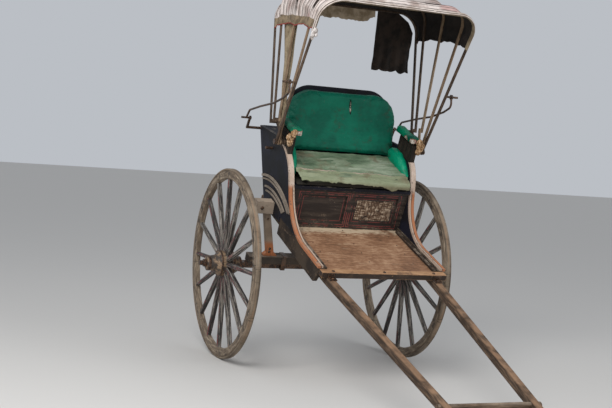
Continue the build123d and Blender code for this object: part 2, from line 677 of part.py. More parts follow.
# Cloth between neighbouring bows, turned about the pins so that it folds over what is behind
# it, and the curtain that hangs from the rear bow's left half


def round_pin(row):
    """Where the top of a bow is, in degrees forward about the pin."""
    angle, top, behind = row
    return angle - degrees(atan2(behind, top))


for i in range(front):
    angle, top, behind = BOWS[i + 1]
    gap = CLOTH_GAP + BOW_WIDTH / 2 * behind / top
    half_width = BOW_INNER_HALF_WIDTH + CLOTH_GAP + CLOTH_THICKNESS + CLOTH_PITCH * i
    section = Pos(0, behind, 0) * u_band(half_width, top + gap + CLOTH_THICKNESS, CLOTH_FOOT[i], CLOTH_THICKNESS)
    sheet = revolve(section, Axis.X, round_pin(BOWS[i]) - round_pin(BOWS[i + 1]))
    parts["hood_cloth_%d" % (i + 1)] = at_pivot(sheet, angle)
curtain_outline = [(x, CLOTH_THICKNESS / 2, -drop) for x, drop in CURTAIN_EDGE]
for x, _ in (CURTAIN_EDGE[-1], CURTAIN_EDGE[0]):
    curtain_outline.append((x, CLOTH_THICKNESS / 2, -CURTAIN_LENGTH))
curtain = extrude(Face(Wire.make_polygon(curtain_outline)), amount=CLOTH_THICKNESS, dir=(0, -1, 0))
rear_angle, rear_top, rear_behind = BOWS[0]
hung = Pos(0, rear_behind, rear_top - BOW_THICKNESS - CLOTH_GAP) * curtain.rotate(Axis.X, CURTAIN_LEAN)
parts["rear_curtain"] = at_pivot(hung, rear_angle)


# Stays: from the front bow back to the rear corner of the body, drawn in the side view
front_angle = radians(BOWS[-1][0])
stay_pin_y = HOOD_PIVOT_Y - STAY_PIVOT_RADIUS * sin(front_angle)
stay_pin_z = HOOD_PIVOT_Z + STAY_PIVOT_RADIUS * cos(front_angle)


def stay():
    x = BOW_HALF_WIDTH + STAY_GAP + STAY_EYE_THICKNESS / 2
    points = [Vector(x, stay_pin_y + back, stay_pin_z + up) for back, up in STAY_ROUTE]
    route = FilletPolyline(*points, radius=34)
    section = Plane(points[0], z_dir=route % 0)
    rod = sweep(section * Circle(STAY_RADIUS), route)
    across = Rot(0, 90, 0)
    eye = Pos(*points[0]) * across * Cylinder(STAY_EYE_RADIUS, STAY_EYE_THICKNESS)
    handle = Pos(*points[-1]) * across * Cylinder(STAY_RADIUS, STAY_HANDLE)
    hole = Pos(*points[0]) * across * Cylinder(STAY_PIN_RADIUS + RUNNING_GAP, 4 * STAY_EYE_THICKNESS)
    return rod + eye + handle - hole


both("hood_stay", stay())

# Iron lugs that stand out of the side panels. The rear one rises to an open hook, and the
# stay's handle is hooked behind it while the hood is up.
lugs = []
for y, z, end in LUGS:
    start = panel_x(z) + PANEL_THICKNESS - LUG_ROOT
    lug = Pos((start + end) / 2, y, z) * Rot(0, 90, 0) * Cylinder(LUG_RADIUS, end - start)
    lugs.append(lug - parts["side_panel_left"])
hook_x = LUGS[0][2] - HOOK_WIDTH / 2
handle_at = Pos(hook_x, stay_pin_y + STAY_ROUTE[-1][0], stay_pin_z + STAY_ROUTE[-1][1])
rise = Vector(0, *LUGS[0][:2]) - Vector(0, handle_at.position.Y, handle_at.position.Z)
stem = Rot(degrees(atan2(rise.Z, rise.Y)), 0, 0) * Pos(0, rise.length / 2, 0) * Box(HOOK_WIDTH, rise.length, HOOK_WIDTH)
hook = stem + Rot(0, 90, 0) * Cylinder(HOOK_RADIUS, HOOK_WIDTH)
mouth = STAY_RADIUS + PLAY
hook = hook - Rot(0, 90, 0) * Cylinder(mouth, 2 * HOOK_WIDTH)
hook = hook - Rot(HOOK_OPENS, 0, 0) * Pos(0, HOOK_RADIUS, 0) * Box(2 * HOOK_WIDTH, 2 * HOOK_RADIUS, 2 * mouth)
lugs[0] = lugs[0] + handle_at * hook
both("side_lugs", Compound(lugs))


def park(piece):
    """Tips a body piece forward about the axle into the parked pose."""
    return piece.rotate(AXLE, PARK_TILT)


os.makedirs("parts", exist_ok=True)
placed = {name: piece if name.startswith("wheel") else park(piece) for name, piece in parts.items()}
reach = Compound([placed["shaft_left"], placed["shaft_right"]]).bounding_box()
ORIGIN_Y = (reach.min.Y + WHEEL_RADIUS) / 2
for name, piece in placed.items():
    export_step(Pos(0, -ORIGIN_Y, 0) * piece, "parts/%s.step" % name)
print(len(parts), "nodes, origin", round(ORIGIN_Y, 3), "mm ahead of the axle")
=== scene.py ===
from math import cos, exp, hypot, pi, radians, sin, tan

import bmesh
import bpy
from mathutils import Matrix, Vector, noise


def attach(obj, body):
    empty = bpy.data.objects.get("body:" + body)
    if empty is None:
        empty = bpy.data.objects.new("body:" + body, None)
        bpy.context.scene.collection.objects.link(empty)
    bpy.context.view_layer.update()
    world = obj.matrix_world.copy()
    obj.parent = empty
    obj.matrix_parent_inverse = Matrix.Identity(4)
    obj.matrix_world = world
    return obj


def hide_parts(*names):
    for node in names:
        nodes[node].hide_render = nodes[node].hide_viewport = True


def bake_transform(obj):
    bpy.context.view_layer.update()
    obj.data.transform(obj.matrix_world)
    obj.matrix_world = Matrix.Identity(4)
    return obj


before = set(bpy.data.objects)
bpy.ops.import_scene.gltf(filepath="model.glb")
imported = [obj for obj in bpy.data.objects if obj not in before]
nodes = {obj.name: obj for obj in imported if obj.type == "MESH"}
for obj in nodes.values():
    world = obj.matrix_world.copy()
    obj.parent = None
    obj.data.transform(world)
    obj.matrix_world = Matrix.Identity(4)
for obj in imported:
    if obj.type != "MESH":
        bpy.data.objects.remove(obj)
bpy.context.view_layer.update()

# The camera stands where the photographer stood: ahead of the vehicle, to its right, at head
# height, looking a little down and with the picture tipped a few degrees.
eye = (-2.863, -5.471, 1.290)
heading, dip, roll = radians(-23.667), radians(3.106), radians(4.224)
aim = Matrix.Rotation(heading, 4, "Z")
aim @= Matrix.Rotation(pi / 2 - dip, 4, "X")
aim @= Matrix.Rotation(roll, 4, "Z")
bpy.ops.object.camera_add(location=eye, rotation=aim.to_euler())
camera = bpy.context.object
camera.name = "camera"
camera.data.lens = 68.125
camera.data.sensor_width = 36.0
bpy.context.scene.camera = camera
bpy.context.scene.view_settings.view_transform = "Standard"

# Tyres: a solid strip of black rubber round each wheel, rubbed grey by the road, with fine
# cracks across it and dust in them.
axle_y, axle_z = 0.826902, 0.55
wheel_sides = (("left", 1), ("right", -1))
wheel_x = 0.589
dust = (0.36, 0.29, 0.22)


def material(name):
    """A new material with its shader."""
    made = bpy.data.materials.new(name)
    made.use_nodes = True
    return made


class Pattern:
    """A value that varies over a piece, from a shader node, that sums can be made with."""

    def __init__(self, made, socket):
        self.made, self.socket = made, socket

    def __add__(self, other):
        return calc("ADD", self, other)

    def __sub__(self, other):
        return calc("SUBTRACT", self, other)

    def __mul__(self, other):
        return calc("MULTIPLY", self, other)

    def __truediv__(self, other):
        return calc("DIVIDE", self, other)

    def __abs__(self):
        return calc("ABSOLUTE", self)


def feed(made, target, value):
    """Gives a node's input a pattern, a colour or a number."""
    if isinstance(value, Pattern):
        made.node_tree.links.new(value.socket, target)
    else:
        target.default_value = value


def node(made, kind, inputs=None, out=0, **settings):
    """A new node's output, by name or number, from its inputs and settings."""
    new = made.node_tree.nodes.new("ShaderNode" + kind)
    for key, value in settings.items():
        setattr(new, key, value)
    for key, value in (inputs or {}).items():
        feed(made, new.inputs[key], value)
    return Pattern(made, new.outputs[out])


def calc(operation, a, b=0.0):
    return node(a.made, "Math", {0: a, 1: b}, operation=operation)


def vector(x, y, z):
    return node(x.made, "CombineXYZ", {0: x, 1: y, 2: z})


def parts(place):
    """The x, y and z of a place."""
    split = node(place.made, "SeparateXYZ", {0: place}).socket.node
    return [Pattern(place.made, value) for value in split.outputs]


def stretched(place, ways):
    return node(place.made, "VectorMath", {0: place, 1: ways}, operation="MULTIPLY")


def spot(made, stretch=(1, 1, 1), turn=0.0, centre=(0, 0, 0)):
    """Places on the piece, from a centre, turned about X and stretched."""
    where = node(made, "TexCoord", out="Object")
    moved = node(made, "VectorMath", {0: where, 1: centre}, operation="SUBTRACT")
    turned = node(made, "Mapping", {"Vector": moved, "Rotation": (turn, 0, 0)})
    return stretched(turned, stretch)


def mottle(place, scale, detail=5.0, rough=0.6):
    """Random patches, so many to a metre, or so many each way in a tuple."""
    if isinstance(scale, tuple):
        place, scale = stretched(place, scale), 1.0
    inputs = {"Vector": place, "Scale": scale, "Detail": detail, "Roughness": rough}
    return node(place.made, "TexNoise", inputs)


def between(value, low, high):
    """0 below low, 1 above high and smooth between them. High may be the lower one."""
    inputs = {"Value": value, "From Min": low, "From Max": high}
    return node(value.made, "MapRange", inputs, interpolation_type="SMOOTHSTEP")


def rgba(colour):
    return (*colour, 1.0)


def mix(mask, under, over):
    """The colour under, with the colour over it where the mask is 1."""
    inputs = {0: mask}
    for key, colour in ((6, under), (7, over)):
        inputs[key] = colour if isinstance(colour, Pattern) else rgba(colour)
    return node(mask.made, "Mix", inputs, out=2, data_type="RGBA")


def tones(value, *stops):
    """Colours along a value, as (place, colour)."""
    ramp = node(value.made, "ValToRGB", {0: value})
    scale = ramp.socket.node.color_ramp.elements
    while len(scale) < len(stops):
        scale.new(0.5)
    for element, (place, colour) in zip(scale, stops):
        element.position = place
        element.color = rgba(colour)
    return ramp


def coat(colour, rough, height, depth, strength=1.0, shine=0.5, metal=0.0):
    """Finishes a material with its colour, roughness, relief, shine and metal."""
    made = colour.made
    relief = node(made, "Bump", {"Height": height, "Distance": depth, "Strength": strength})
    surface = {"Base Color": colour, "Roughness": rough, "Normal": relief,
               "Specular IOR Level": shine, "Metallic": metal}
    for key, value in surface.items():
        feed(made, made.node_tree.nodes["Principled BSDF"].inputs[key], value)
    return made


def facing_up(made, low=0.25, high=0.95):
    """1 where the piece faces up as it stands."""
    return between(parts(node(made, "TexCoord", out="Normal"))[2], low, high)


def worn_edges(made, width):
    """1 along the piece's sharp edges."""
    rounded = node(made, "Bevel", {"Radius": width}, samples=4)
    flat = node(made, "NewGeometry", out="Normal")
    same = node(made, "VectorMath", {0: rounded, 1: flat}, out="Value", operation="DOT_PRODUCT")
    return between(same, 0.985, 0.80)


def round_axle(made, side):
    """The distance from the axle, the turn about it and the place along it, for one wheel."""
    x, y, z = parts(spot(made, centre=(side * wheel_x, axle_y, axle_z)))
    return calc("SQRT", y * y + z * z), calc("ARCTAN2", y, z), x


def dress(made, *names):
    """Puts a material on CAD nodes. A name without its side stands for the left and right ones."""
    for name in names:
        for full in [name] if name in nodes else [name + "_left", name + "_right"]:
            nodes[full].data.materials.clear()
            nodes[full].data.materials.append(made)


def tyre_rubber(name, side):
    made = material("tyre_rubber_" + name)
    radius, turn, across = round_axle(made, side)
    round_place = vector(turn * 0.55, across, radius)
    cracks = mottle(round_place, (90, 14, 14), 6)
    blotch = mottle(round_place, 9.0, 5)
    drawn = mottle(round_place, (2.5, 110, 110), 5)
    value = blotch * 0.45 + drawn * 0.55
    rubber = tones(
        value, (0.38, (0.085, 0.062, 0.042)), (0.50, (0.185, 0.142, 0.10)),
        (0.62, (0.33, 0.27, 0.20)))
    rubber = mix(between(drawn, 0.52, 0.60) * 0.55, rubber, (0.24, 0.13, 0.065))
    return coat(
        mix(between(cracks, 0.42, 0.33), rubber, (0.055, 0.042, 0.030)), 0.86, cracks, 0.002)


for name, side in wheel_sides:
    dress(tyre_rubber(name, side), "wheel_tyre_" + name)

# Felloes: the wheel's wooden ring, sawn in eight lengths and doweled end to end. The old
# paint is left only on the sides; the wood is grey and open, and the joints show dark.


def timber(made, along, dark, middle, light):
    """Grain that runs along a stretched place's short way, as a colour, and its height."""
    fibre = mottle(along, 9.0, 8, 0.65)
    value = fibre * 0.7 + mottle(spot(made), 4.0, 4) * 0.3
    return tones(value, (0.36, dark), (0.5, middle), (0.64, light)), fibre


def felloe_wood(name, side):
    made = material("felloe_wood_" + name)
    radius, turn, across = round_axle(made, side)
    along = vector(turn * 1.1, across * 16, radius * 16)
    wood, fibre = timber(
        made, along, (0.060, 0.042, 0.028), (0.19, 0.14, 0.095), (0.43, 0.345, 0.25))
    on_side = between(abs(across), 0.0155, 0.0175)
    old_paint = between(mottle(spot(made), 22.0, 7, 0.7), 0.53, 0.60) * on_side * 0.8
    colour = mix(old_paint, wood, (0.028, 0.022, 0.018))
    # eight lengths, with a joint at the middle of each count and the first one turned a little
    lengths = calc("FRACT", turn / (pi / 4) + 8.37)
    joint = between(abs(lengths - 0.5), 0.004, 0.0015)
    return coat(mix(joint, colour, (0.01, 0.008, 0.006)), 0.8, fibre - joint, 0.003)


for name, side in wheel_sides:
    dress(felloe_wood(name, side), "wheel_felloe_" + name)

# Spokes: sixteen tapered bars, driven into the nave and tenoned into the felloes. They carry
# dark paint with two thin red lines, rubbed through to pale undercoat and grey wood.


def spoke_paint(name, side):
    made = material("spoke_paint_" + name)
    radius, turn, across = round_axle(made, side)
    # sixteen spokes: which one it is, and the distance from its middle line
    apart = pi / 8
    steps = turn / apart + 16.5
    which = calc("FLOOR", steps)
    off = (calc("FRACT", steps) - 0.5) * apart * radius
    along = vector(radius * 2.2, off * 30, across * 30 + which)
    wood, fibre = timber(made, along, (0.06, 0.048, 0.038), (0.23, 0.20, 0.165), (0.52, 0.48, 0.44))
    tone = node(made, "TexWhiteNoise", {"W": which}, noise_dimensions="1D")
    rubbed = mottle(stretched(along, (2.4, 2.6, 2.6)), 1.6, 6, 0.7)
    worn = rubbed + tone * 0.10 + worn_edges(made, 0.006) * 0.12
    paint = mix(between(rubbed, 0.42, 0.58), (0.018, 0.014, 0.013), (0.05, 0.04, 0.036))
    line = between(abs(abs(off) - 0.0050), 0.0014, 0.0006)
    lined = line * between(mottle(spot(made), 26.0, 4), 0.46, 0.54)
    painted = mix(lined, paint, (0.34, 0.05, 0.05))
    relief = fibre - between(worn, 0.60, 0.66)
    return coat(mix(between(worn, 0.550, 0.605), painted, wood), 0.62, relief, 0.0015)


for name, side in wheel_sides:
    dress(spoke_paint(name, side), "wheel_spokes_" + name)

# Naves: turned elm hubs, coppery where hands and grease have rubbed the nose, with shrunk
# iron bands at the nose, at the heel and on both sides of the spokes.


def clear_selection():
    """Deselects everything, so that an operator acts on the next piece alone."""
    bpy.ops.object.select_all(action="DESELECT")


def finish_piece(name, made, body, smooth):
    """Names the active piece, applies its place, gives it its material and its body."""
    piece = bpy.context.object
    piece.name = name
    bpy.ops.object.transform_apply()
    bpy.ops.object.shade_smooth_by_angle(angle=radians(smooth))
    piece.data.materials.clear()
    piece.data.materials.append(made)
    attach(piece, body)


def join(pieces):
    """Joins pieces into the first, which is left active."""
    clear_selection()
    for piece in pieces:
        piece.select_set(True)
    bpy.context.view_layer.objects.active = pieces[0]
    bpy.ops.object.join()


def apply_modifier(piece, kind, name, **settings):
    """Adds a modifier with its settings and applies it."""
    modifier = piece.modifiers.new(name, kind)
    for key, value in settings.items():
        setattr(modifier, key, value)
    bpy.context.view_layer.objects.active = piece
    bpy.ops.object.modifier_apply(modifier=name)


def nave_wood(name, side):
    made = material("nave_wood_" + name)
    radius, turn, across = round_axle(made, side)
    along = vector(across * 3, turn * 2.5, radius * 20)
    wood, fibre = timber(made, along, (0.06, 0.042, 0.03), (0.20, 0.125, 0.07), (0.42, 0.29, 0.18))
    grease = between(mottle(spot(made), 26.0, 5), 0.46, 0.56)
    return coat(mix(grease, wood, (0.05, 0.038, 0.03)), 0.55, fibre, 0.002)


def forged_iron():
    """Black forged iron, brown with rust and rubbed brighter on its edges."""
    made = material("forged_iron")
    speck = mottle(spot(made), 140.0, 6, 0.7)
    cloud = mottle(spot(made), 18.0, 4)
    scale = tones(
        cloud, (0.35, (0.022, 0.018, 0.016)), (0.5, (0.06, 0.042, 0.032)),
        (0.65, (0.13, 0.085, 0.06)))
    rusty = mix(between(speck, 0.52, 0.60), scale, (0.21, 0.095, 0.045))
    rubbed = mix(worn_edges(made, 0.002) * 0.6, rusty, (0.30, 0.24, 0.20))
    return coat(rubbed, between(speck, 0.0, 1.2), speck, 0.0008, metal=0.55)


iron = forged_iron()


def iron_piece(name, pieces, body, smooth=50):
    """Joins pieces of forged iron into one on a body."""
    join(pieces)
    finish_piece(name, iron, body, smooth)


# each band's place outward from the wheel's middle, radius inside, width and thickness
nave_bands = (
    (0.100, 0.0405, 0.016, 0.0035), (0.036, 0.0715, 0.010, 0.005),
    (-0.036, 0.0715, 0.010, 0.005), (-0.084, 0.0415, 0.014, 0.003),
)
for name, side in wheel_sides:
    dress(nave_wood(name, side), "wheel_nave_" + name)
    hoops = []
    for out, inner, width, thick in nave_bands:
        clear_selection()
        bpy.ops.mesh.primitive_cylinder_add(
            vertices=48, radius=inner, depth=width, end_fill_type="NOTHING",
            location=(side * (wheel_x + out), axle_y, axle_z), rotation=(0, pi / 2, 0))
        hoop = bpy.context.object
        bpy.ops.object.transform_apply()
        apply_modifier(hoop, "SOLIDIFY", "wall", thickness=thick, offset=1.0)
        apply_modifier(hoop, "BEVEL", "edge", width=0.001, segments=2, limit_method="ANGLE")
        hoops.append(hoop)
    iron_piece("nave_bands_" + name, hoops, "wheel_" + name, smooth=40)

# Axle: a square iron bar with turned ends and round nuts, held up to its bed by four iron
# straps that are bent square round both. It is turned with the body, which is parked tilted.
dress(iron, "axle")
tilt = radians(20)
strap_places = (-0.40, -0.235, 0.235, 0.40)
strap_wide, strap_deep, strap_high = 0.028, 0.0635, 0.081


def level(x, y, z):
    """A place on the parked body from its place on the level body, y from the axle."""
    up = z - axle_z
    along, rise = y * cos(tilt) - up * sin(tilt), y * sin(tilt) + up * cos(tilt)
    return Vector((x, axle_y + along, axle_z + rise))


def edit_all():
    """Opens the active piece in edit mode with all of it selected."""
    bpy.ops.object.mode_set(mode="EDIT")
    bpy.ops.mesh.select_all(action="SELECT")


straps = []
for x in strap_places:
    # a square tube about the bar and the bed, one metre wide until it is scaled to them
    clear_selection()
    bpy.ops.mesh.primitive_cylinder_add(
        vertices=4, radius=0.5 * 2 ** 0.5, depth=strap_wide, end_fill_type="NOTHING",
        location=level(x, 0, 0.573), rotation=(0, pi / 2, 0))
    strap = bpy.context.object
    bpy.ops.object.transform_apply(location=False, rotation=True, scale=True)
    edit_all()
    bpy.ops.transform.rotate(value=pi / 4, orient_axis="X", center_override=strap.location)
    bpy.ops.object.mode_set(mode="OBJECT")
    strap.scale = (1, strap_deep, strap_high)
    bpy.ops.object.transform_apply(location=False, rotation=False, scale=True)
    strap.rotation_euler.x = tilt
    bpy.ops.object.transform_apply()
    apply_modifier(strap, "SOLIDIFY", "iron", thickness=0.004, offset=1.0)
    apply_modifier(strap, "BEVEL", "edge", width=0.0015, segments=2, limit_method="ANGLE")
    straps.append(strap)
iron_piece("axle_straps", straps, "frame", smooth=40)


def dome(place, way, radius, high):
    """A hammered rivet or bolt head on a surface, its axis along way."""
    clear_selection()
    turn = way.to_track_quat("Z", "Y").to_euler()
    bpy.ops.mesh.primitive_uv_sphere_add(
        segments=18, ring_count=10, radius=radius, location=place, rotation=turn)
    head = bpy.context.object
    head.scale.z = high / radius
    edit_all()
    bpy.ops.mesh.bisect(plane_co=place - way * 0.001, plane_no=way, clear_inner=True, use_fill=True)
    bpy.ops.object.mode_set(mode="OBJECT")
    bpy.ops.object.transform_apply()
    return head


# Axle bed, posts and bearer: the timber that carries the body over the axle. The bearer and
# the tops of the posts keep a cream paint, and the feet of the posts are orange.
flare = 0.0577  # how far a side panel leans outwards over a metre of height
grey_wood = ((0.055, 0.04, 0.03), (0.14, 0.105, 0.08), (0.27, 0.215, 0.165))
brown_wood = ((0.03, 0.02, 0.013), (0.10, 0.065, 0.042), (0.24, 0.165, 0.11))
along_x, along_y, along_z = (1.2, 14, 14), (14, 1.2, 14), (14, 14, 1.2)
cream, orange = (0.42, 0.33, 0.25), (0.42, 0.15, 0.06)


def on_level(made, stretch=(1, 1, 1)):
    """Places as on the level body, from the axle, stretched."""
    return spot(made, stretch, -tilt, (0, axle_y, axle_z))


def weathered(name, grain, wood, paint=None, wear=0.5, rough=0.75, dust_and_top_light=0.5, band=None, top=dust):
    """Old timber, its grain along one axis, worn on its edges and, on what faces up, a top colour:
    dust, and on the shafts painted light. The paint is two shades, and a band is a second colour
    below a height, with the width of the part left out."""
    made = material(name)
    along = on_level(made, grain)
    colour, fibre = timber(made, along, *wood)
    height = fibre
    if paint:
        flake = mottle(spot(made), 34.0, 7, 0.72)
        streak = mottle(along, 7.0, 5, 0.6)
        skin = mix(between(mottle(spot(made), 6.0, 4), 0.40, 0.60), *paint)
        if band:
            low, high, second, inner = band
            aside, _, rise = parts(on_level(made))
            below = between(rise, high, low)
            skin = mix(below, skin, second)
            if inner:
                # beside the flared panel a strip keeps the first paint, behind a dark line
                off = abs(aside) - (rise * flare + 0.3285 + inner)
                skin = mix(below * between(off, 0.001, -0.001), skin, paint[1])
                line = below * between(abs(off), 0.0024, 0.0012)
                skin = mix(line, skin, (0.05, 0.035, 0.028))
        loss = flake * 0.6 + streak * 0.4 + worn_edges(made, 0.005) * 0.16
        bare = between(loss, 0.72 - 0.3 * wear, 0.76 - 0.3 * wear)
        colour = mix(bare, skin, colour)
        height = fibre * 0.5 - bare * 0.4
    # what faces up takes the top colour in patches: dust, and on the shafts painted light on their
    # sunlit tops
    top_dust_and_light = between(mottle(spot(made), 14.0, 6), 0.62 - 0.4 * dust_and_top_light, 0.78 - 0.2 * dust_and_top_light)
    return coat(mix(facing_up(made) * top_dust_and_light * 0.6, colour, top), rough, height, 0.002, shine=0.28)


post_pale, post_band = ((0.30, 0.23, 0.17), (0.22, 0.165, 0.12)), (0.13, 0.17, orange, 0)
post_paint = weathered("post_paint", along_z, grey_wood, post_pale, wear=0.55, band=post_band)
bearer_paint = weathered("bearer_paint", along_x, grey_wood, (cream, (0.34, 0.27, 0.21)), wear=0.45)
bed_wood = weathered("bed_wood", along_x, brown_wood, ((0.05, 0.04, 0.032), (0.08, 0.06, 0.045)))
dress(post_paint, "post")
dress(bearer_paint, "bearer")
dress(bed_wood, "axle_bed")
forward, upward = (level(0, *way) - level(0, 0, axle_z) for way in ((-1, axle_z), (0, axle_z + 1)))
bolts = [dome(level(x, -0.028, 0.922), forward, 0.011, 0.007) for x in (-0.44, 0.44)]
bolts += [
    dome(level(x, -0.0155, z), forward, 0.008, 0.005)
    for x in (-0.335, 0.335) for z in (0.640, 0.660)]
bolts += [dome(level(x, -0.0155, 0.850), forward, 0.008, 0.005) for x in (-0.385, 0.385)]
iron_piece("chassis_bolts", bolts, "frame")

# Shafts and crossbar: two long ash poles, squared under the body and turned down at the
# tips, with the crossbar let through both. Hands have polished them brown.
ash = ((0.020, 0.013, 0.008), (0.070, 0.044, 0.028), (0.21, 0.135, 0.085))
# the shafts' upward faces take a light orange-brown in patches: painted light on their sunlit tops
dress(weathered("shaft_wood", along_y, ash, dust_and_top_light=0.80, top=(0.36, 0.21, 0.12)), "shaft")
dress(weathered("crossbar_wood", along_x, brown_wood, dust_and_top_light=0.7), "shaft_crossbar")

# Front bar and its clamps: a hardwood bar across the shafts, its top rubbed to bare tan wood
# and its face still dark, held by two small irons and two bolts.


def bar_paint():
    made = material("bar_wood")
    along = on_level(made, (1.5, 20, 20))
    wood, fibre = timber(made, along, (0.13, 0.060, 0.028), (0.36, 0.19, 0.09), (0.56, 0.34, 0.19))
    chips = mottle(spot(made), 38.0, 8, 0.75)
    rubbed = chips + facing_up(made, 0.4, 0.8) * 0.35 + worn_edges(made, 0.006) * 0.18
    colour = mix(between(rubbed, 0.60, 0.68), (0.030, 0.016, 0.009), wood)
    stain = between(mottle(spot(made), 9.0, 6, 0.7), 0.55, 0.66)
    return coat(mix(stain * 0.6, colour, (0.08, 0.045, 0.025)), 0.66, fibre, 0.002)


dress(bar_paint(), "front_bar")
dress(iron, "shaft_clamp")
bolts = [dome(level(x, -0.790, 0.918), upward, 0.009, 0.005) for x in (-0.30, 0.0, 0.30)]
bolts += [dome(level(side * 0.314, -0.829, 0.894), upward, 0.008, 0.006) for side in (-1, 1)]
iron_piece("bar_bolts", bolts, "frame")

# Floor boards: five planks nailed across the shafts, scuffed warm brown by feet, with cream
# paint left along the seat box and in dashes. A dark batten is nailed over their ends.
batten_x = 0.328


def floor_paint():
    made = material("floor_paint")
    body = on_level(made)
    back = parts(body)[1]
    grain = mottle(body, (6, 90, 90), 5)
    scuffs = mottle(body, (22, 62, 62), 9, 0.75)
    cloud = mottle(body, 5.0, 5)
    value = scuffs * 0.45 + grain * 0.15 + cloud * 0.40
    wood = tones(
        value, (0.39, (0.115, 0.052, 0.025)), (0.50, (0.255, 0.125, 0.062)),
        (0.61, (0.46, 0.28, 0.165)))
    left = back + (scuffs - 0.5) * 0.22
    cream_left = between(left, -0.30, -0.262) * between(cloud, 0.36, 0.48)
    dashes = between(mottle(body, (3.5, 34, 34), 5, 0.7), 0.62, 0.68)
    cream_left = calc("MAXIMUM", cream_left, dashes * 0.65)
    painted = mix(cream_left * 0.85, wood, (0.56, 0.44, 0.30))
    trodden = between(mottle(body, 60.0, 8, 0.8), 0.60, 0.66)
    return coat(mix(trodden * 0.7, painted, (0.055, 0.030, 0.018)), 0.72, value, 0.002)


dress(floor_paint(), "floor_boards")
battens = []
for side in (-1, 1):
    clear_selection()
    place = level(side * batten_x, -0.5, 0.9105)
    bpy.ops.mesh.primitive_cube_add(size=1, location=place, rotation=(tilt, 0, 0))
    batten = bpy.context.object
    batten.scale = (0.020, 0.50, 0.015)
    bpy.ops.object.transform_apply()
    edit_all()
    bpy.ops.mesh.subdivide(number_cuts=14)
    bpy.ops.object.mode_set(mode="OBJECT")
    for vert in batten.data.vertices:
        vert.co.x += 0.0012 * noise.noise(vert.co * 7 + Vector((side, 0, 0)))
    apply_modifier(
        batten, "BEVEL", "edge", width=0.003, segments=2, limit_method="ANGLE",
        angle_limit=radians(50))
    battens.append(batten)
join(battens)
batten_wood = ((0.05, 0.032, 0.02), (0.13, 0.085, 0.055), (0.30, 0.21, 0.14))
batten_dark = ((0.022, 0.015, 0.011), (0.040, 0.028, 0.02))
batten_paint = weathered("batten_paint", along_y, batten_wood, batten_dark, wear=0.62, dust_and_top_light=0.4)
finish_piece("floor_battens", batten_paint, "frame", smooth=50)
nails = []
for x in (-batten_x, batten_x):
    nails += [dome(level(x, y, 0.918), upward, 0.004, 0.0022) for y in (-0.72, -0.58, -0.44, -0.30)]
for x in (-0.27, -0.02, 0.25):
    for y in (-0.745, -0.64, -0.53, -0.42, -0.31, -0.25):
        nails.append(dome(level(x, y, 0.903), upward, 0.0042, 0.0020))
iron_piece("floor_nails", nails, "frame")

# Sills: deep boards spiked to the outer faces of the shafts, under the side panels. They are
# painted dark, and the paint is scuffed off along the edges.
sill_dark = ((0.026, 0.018, 0.013), (0.060, 0.042, 0.028))
dress(weathered("sill_paint", along_y, brown_wood, sill_dark, wear=0.57), "sill")

# Side panels, back and seat box: planks under black and navy paint, streaked by rain and
# rubbed grey; the mouldings along the scroll are white above and orange below.
navy = ((0.006, 0.006, 0.008), (0.009, 0.010, 0.020))
body_paint = weathered("body_paint", along_z, grey_wood, navy, wear=0.25, rough=0.62, dust_and_top_light=0.2)
dress(body_paint, "side_panel", "back_panel", "backrest_board", "seat_board", "rear_shelf")
# the recesses of the seat box: middle and half width in x, low and high on the level body
box_recess = (0.1625, 0.1395, 0.933, 1.104)


def box_paint():
    """Dark brown paint with thin red lines round each recess; the left recess is scraped bare."""
    made = material("box_paint")
    body = on_level(made)
    x, _, z = parts(body)
    wood, fibre = timber(
        made, stretched(body, (2, 14, 14)), (0.05, 0.035, 0.024), (0.13, 0.09, 0.062),
        (0.30, 0.22, 0.155))
    flake = mottle(body, 40.0, 8, 0.75)
    streak = mottle(body, (5, 40, 40), 5)
    loss = flake * 0.65 + streak * 0.35
    middle, half, low, high = box_recess
    across = abs(abs(x) - middle) - half
    rise = abs(z - ((low + high) / 2 - axle_z)) - (high - low) / 2
    off = calc("MAXIMUM", across, rise)
    lines = [between(abs(off - at), 0.0022, 0.0010) for at in (0.006, 0.017, -0.014)]
    ruled = calc("MAXIMUM", calc("MAXIMUM", lines[0], lines[1]), lines[2] * 0.8)
    kept = ruled * between(mottle(body, 30.0, 4), 0.40, 0.50)
    paint = mix(between(streak, 0.42, 0.60), (0.022, 0.015, 0.012), (0.055, 0.040, 0.030))
    paint = mix(kept, paint, (0.30, 0.055, 0.05))
    inside = between(off, -0.020, -0.030) * between(x, 0.0, 0.01)
    rail = between(z, low - axle_z - 0.004, low - axle_z - 0.012)
    bare = between(loss + inside * 0.14 + rail * 0.045, 0.555, 0.60)
    specks = mottle(body, (24, 130, 130), 6, 0.7) * 0.5 + mottle(body, (130, 130, 30), 6, 0.7) * 0.5
    raw = tones(
        specks, (0.44, (0.070, 0.038, 0.022)), (0.51, (0.16, 0.095, 0.055)),
        (0.565, (0.55, 0.44, 0.32)))
    return coat(mix(bare, paint, mix(inside, wood, raw)), 0.62, fibre - bare, 0.002)


dress(box_paint(), "seat_front")
white = ((0.62, 0.50, 0.42), (0.48, 0.36, 0.28))
low_band = (0.585, 0.615, (0.40, 0.155, 0.07), 0.011)
dress(weathered("moulding_paint", along_y, grey_wood, white, wear=0.52, band=low_band), "moulding")
arch_white = ((0.30, 0.25, 0.20), (0.22, 0.18, 0.14))
dress(weathered("arch_paint", along_y, grey_wood, arch_white, wear=0.4), "arch_mouldings")

# Backrest: coir stuffing under green coated cloth, slit near its middle. Like every padded
# piece it starts from its plain shape, is puffed up by air pressure and is then dented.


def new_piece(name, mesh):
    """A piece from a mesh, selected alone."""
    piece = bpy.data.objects.new(name, mesh)
    bpy.context.collection.objects.link(piece)
    clear_selection()
    piece.select_set(True)
    bpy.context.view_layer.objects.active = piece
    return piece


def push(piece, depth):
    """Moves every point out along its normal by what depth gives for it."""
    moved = [v.co + v.normal * depth(v.co) for v in piece.data.vertices]
    for vert, place in zip(piece.data.vertices, moved):
        vert.co = place


air_steps = 20


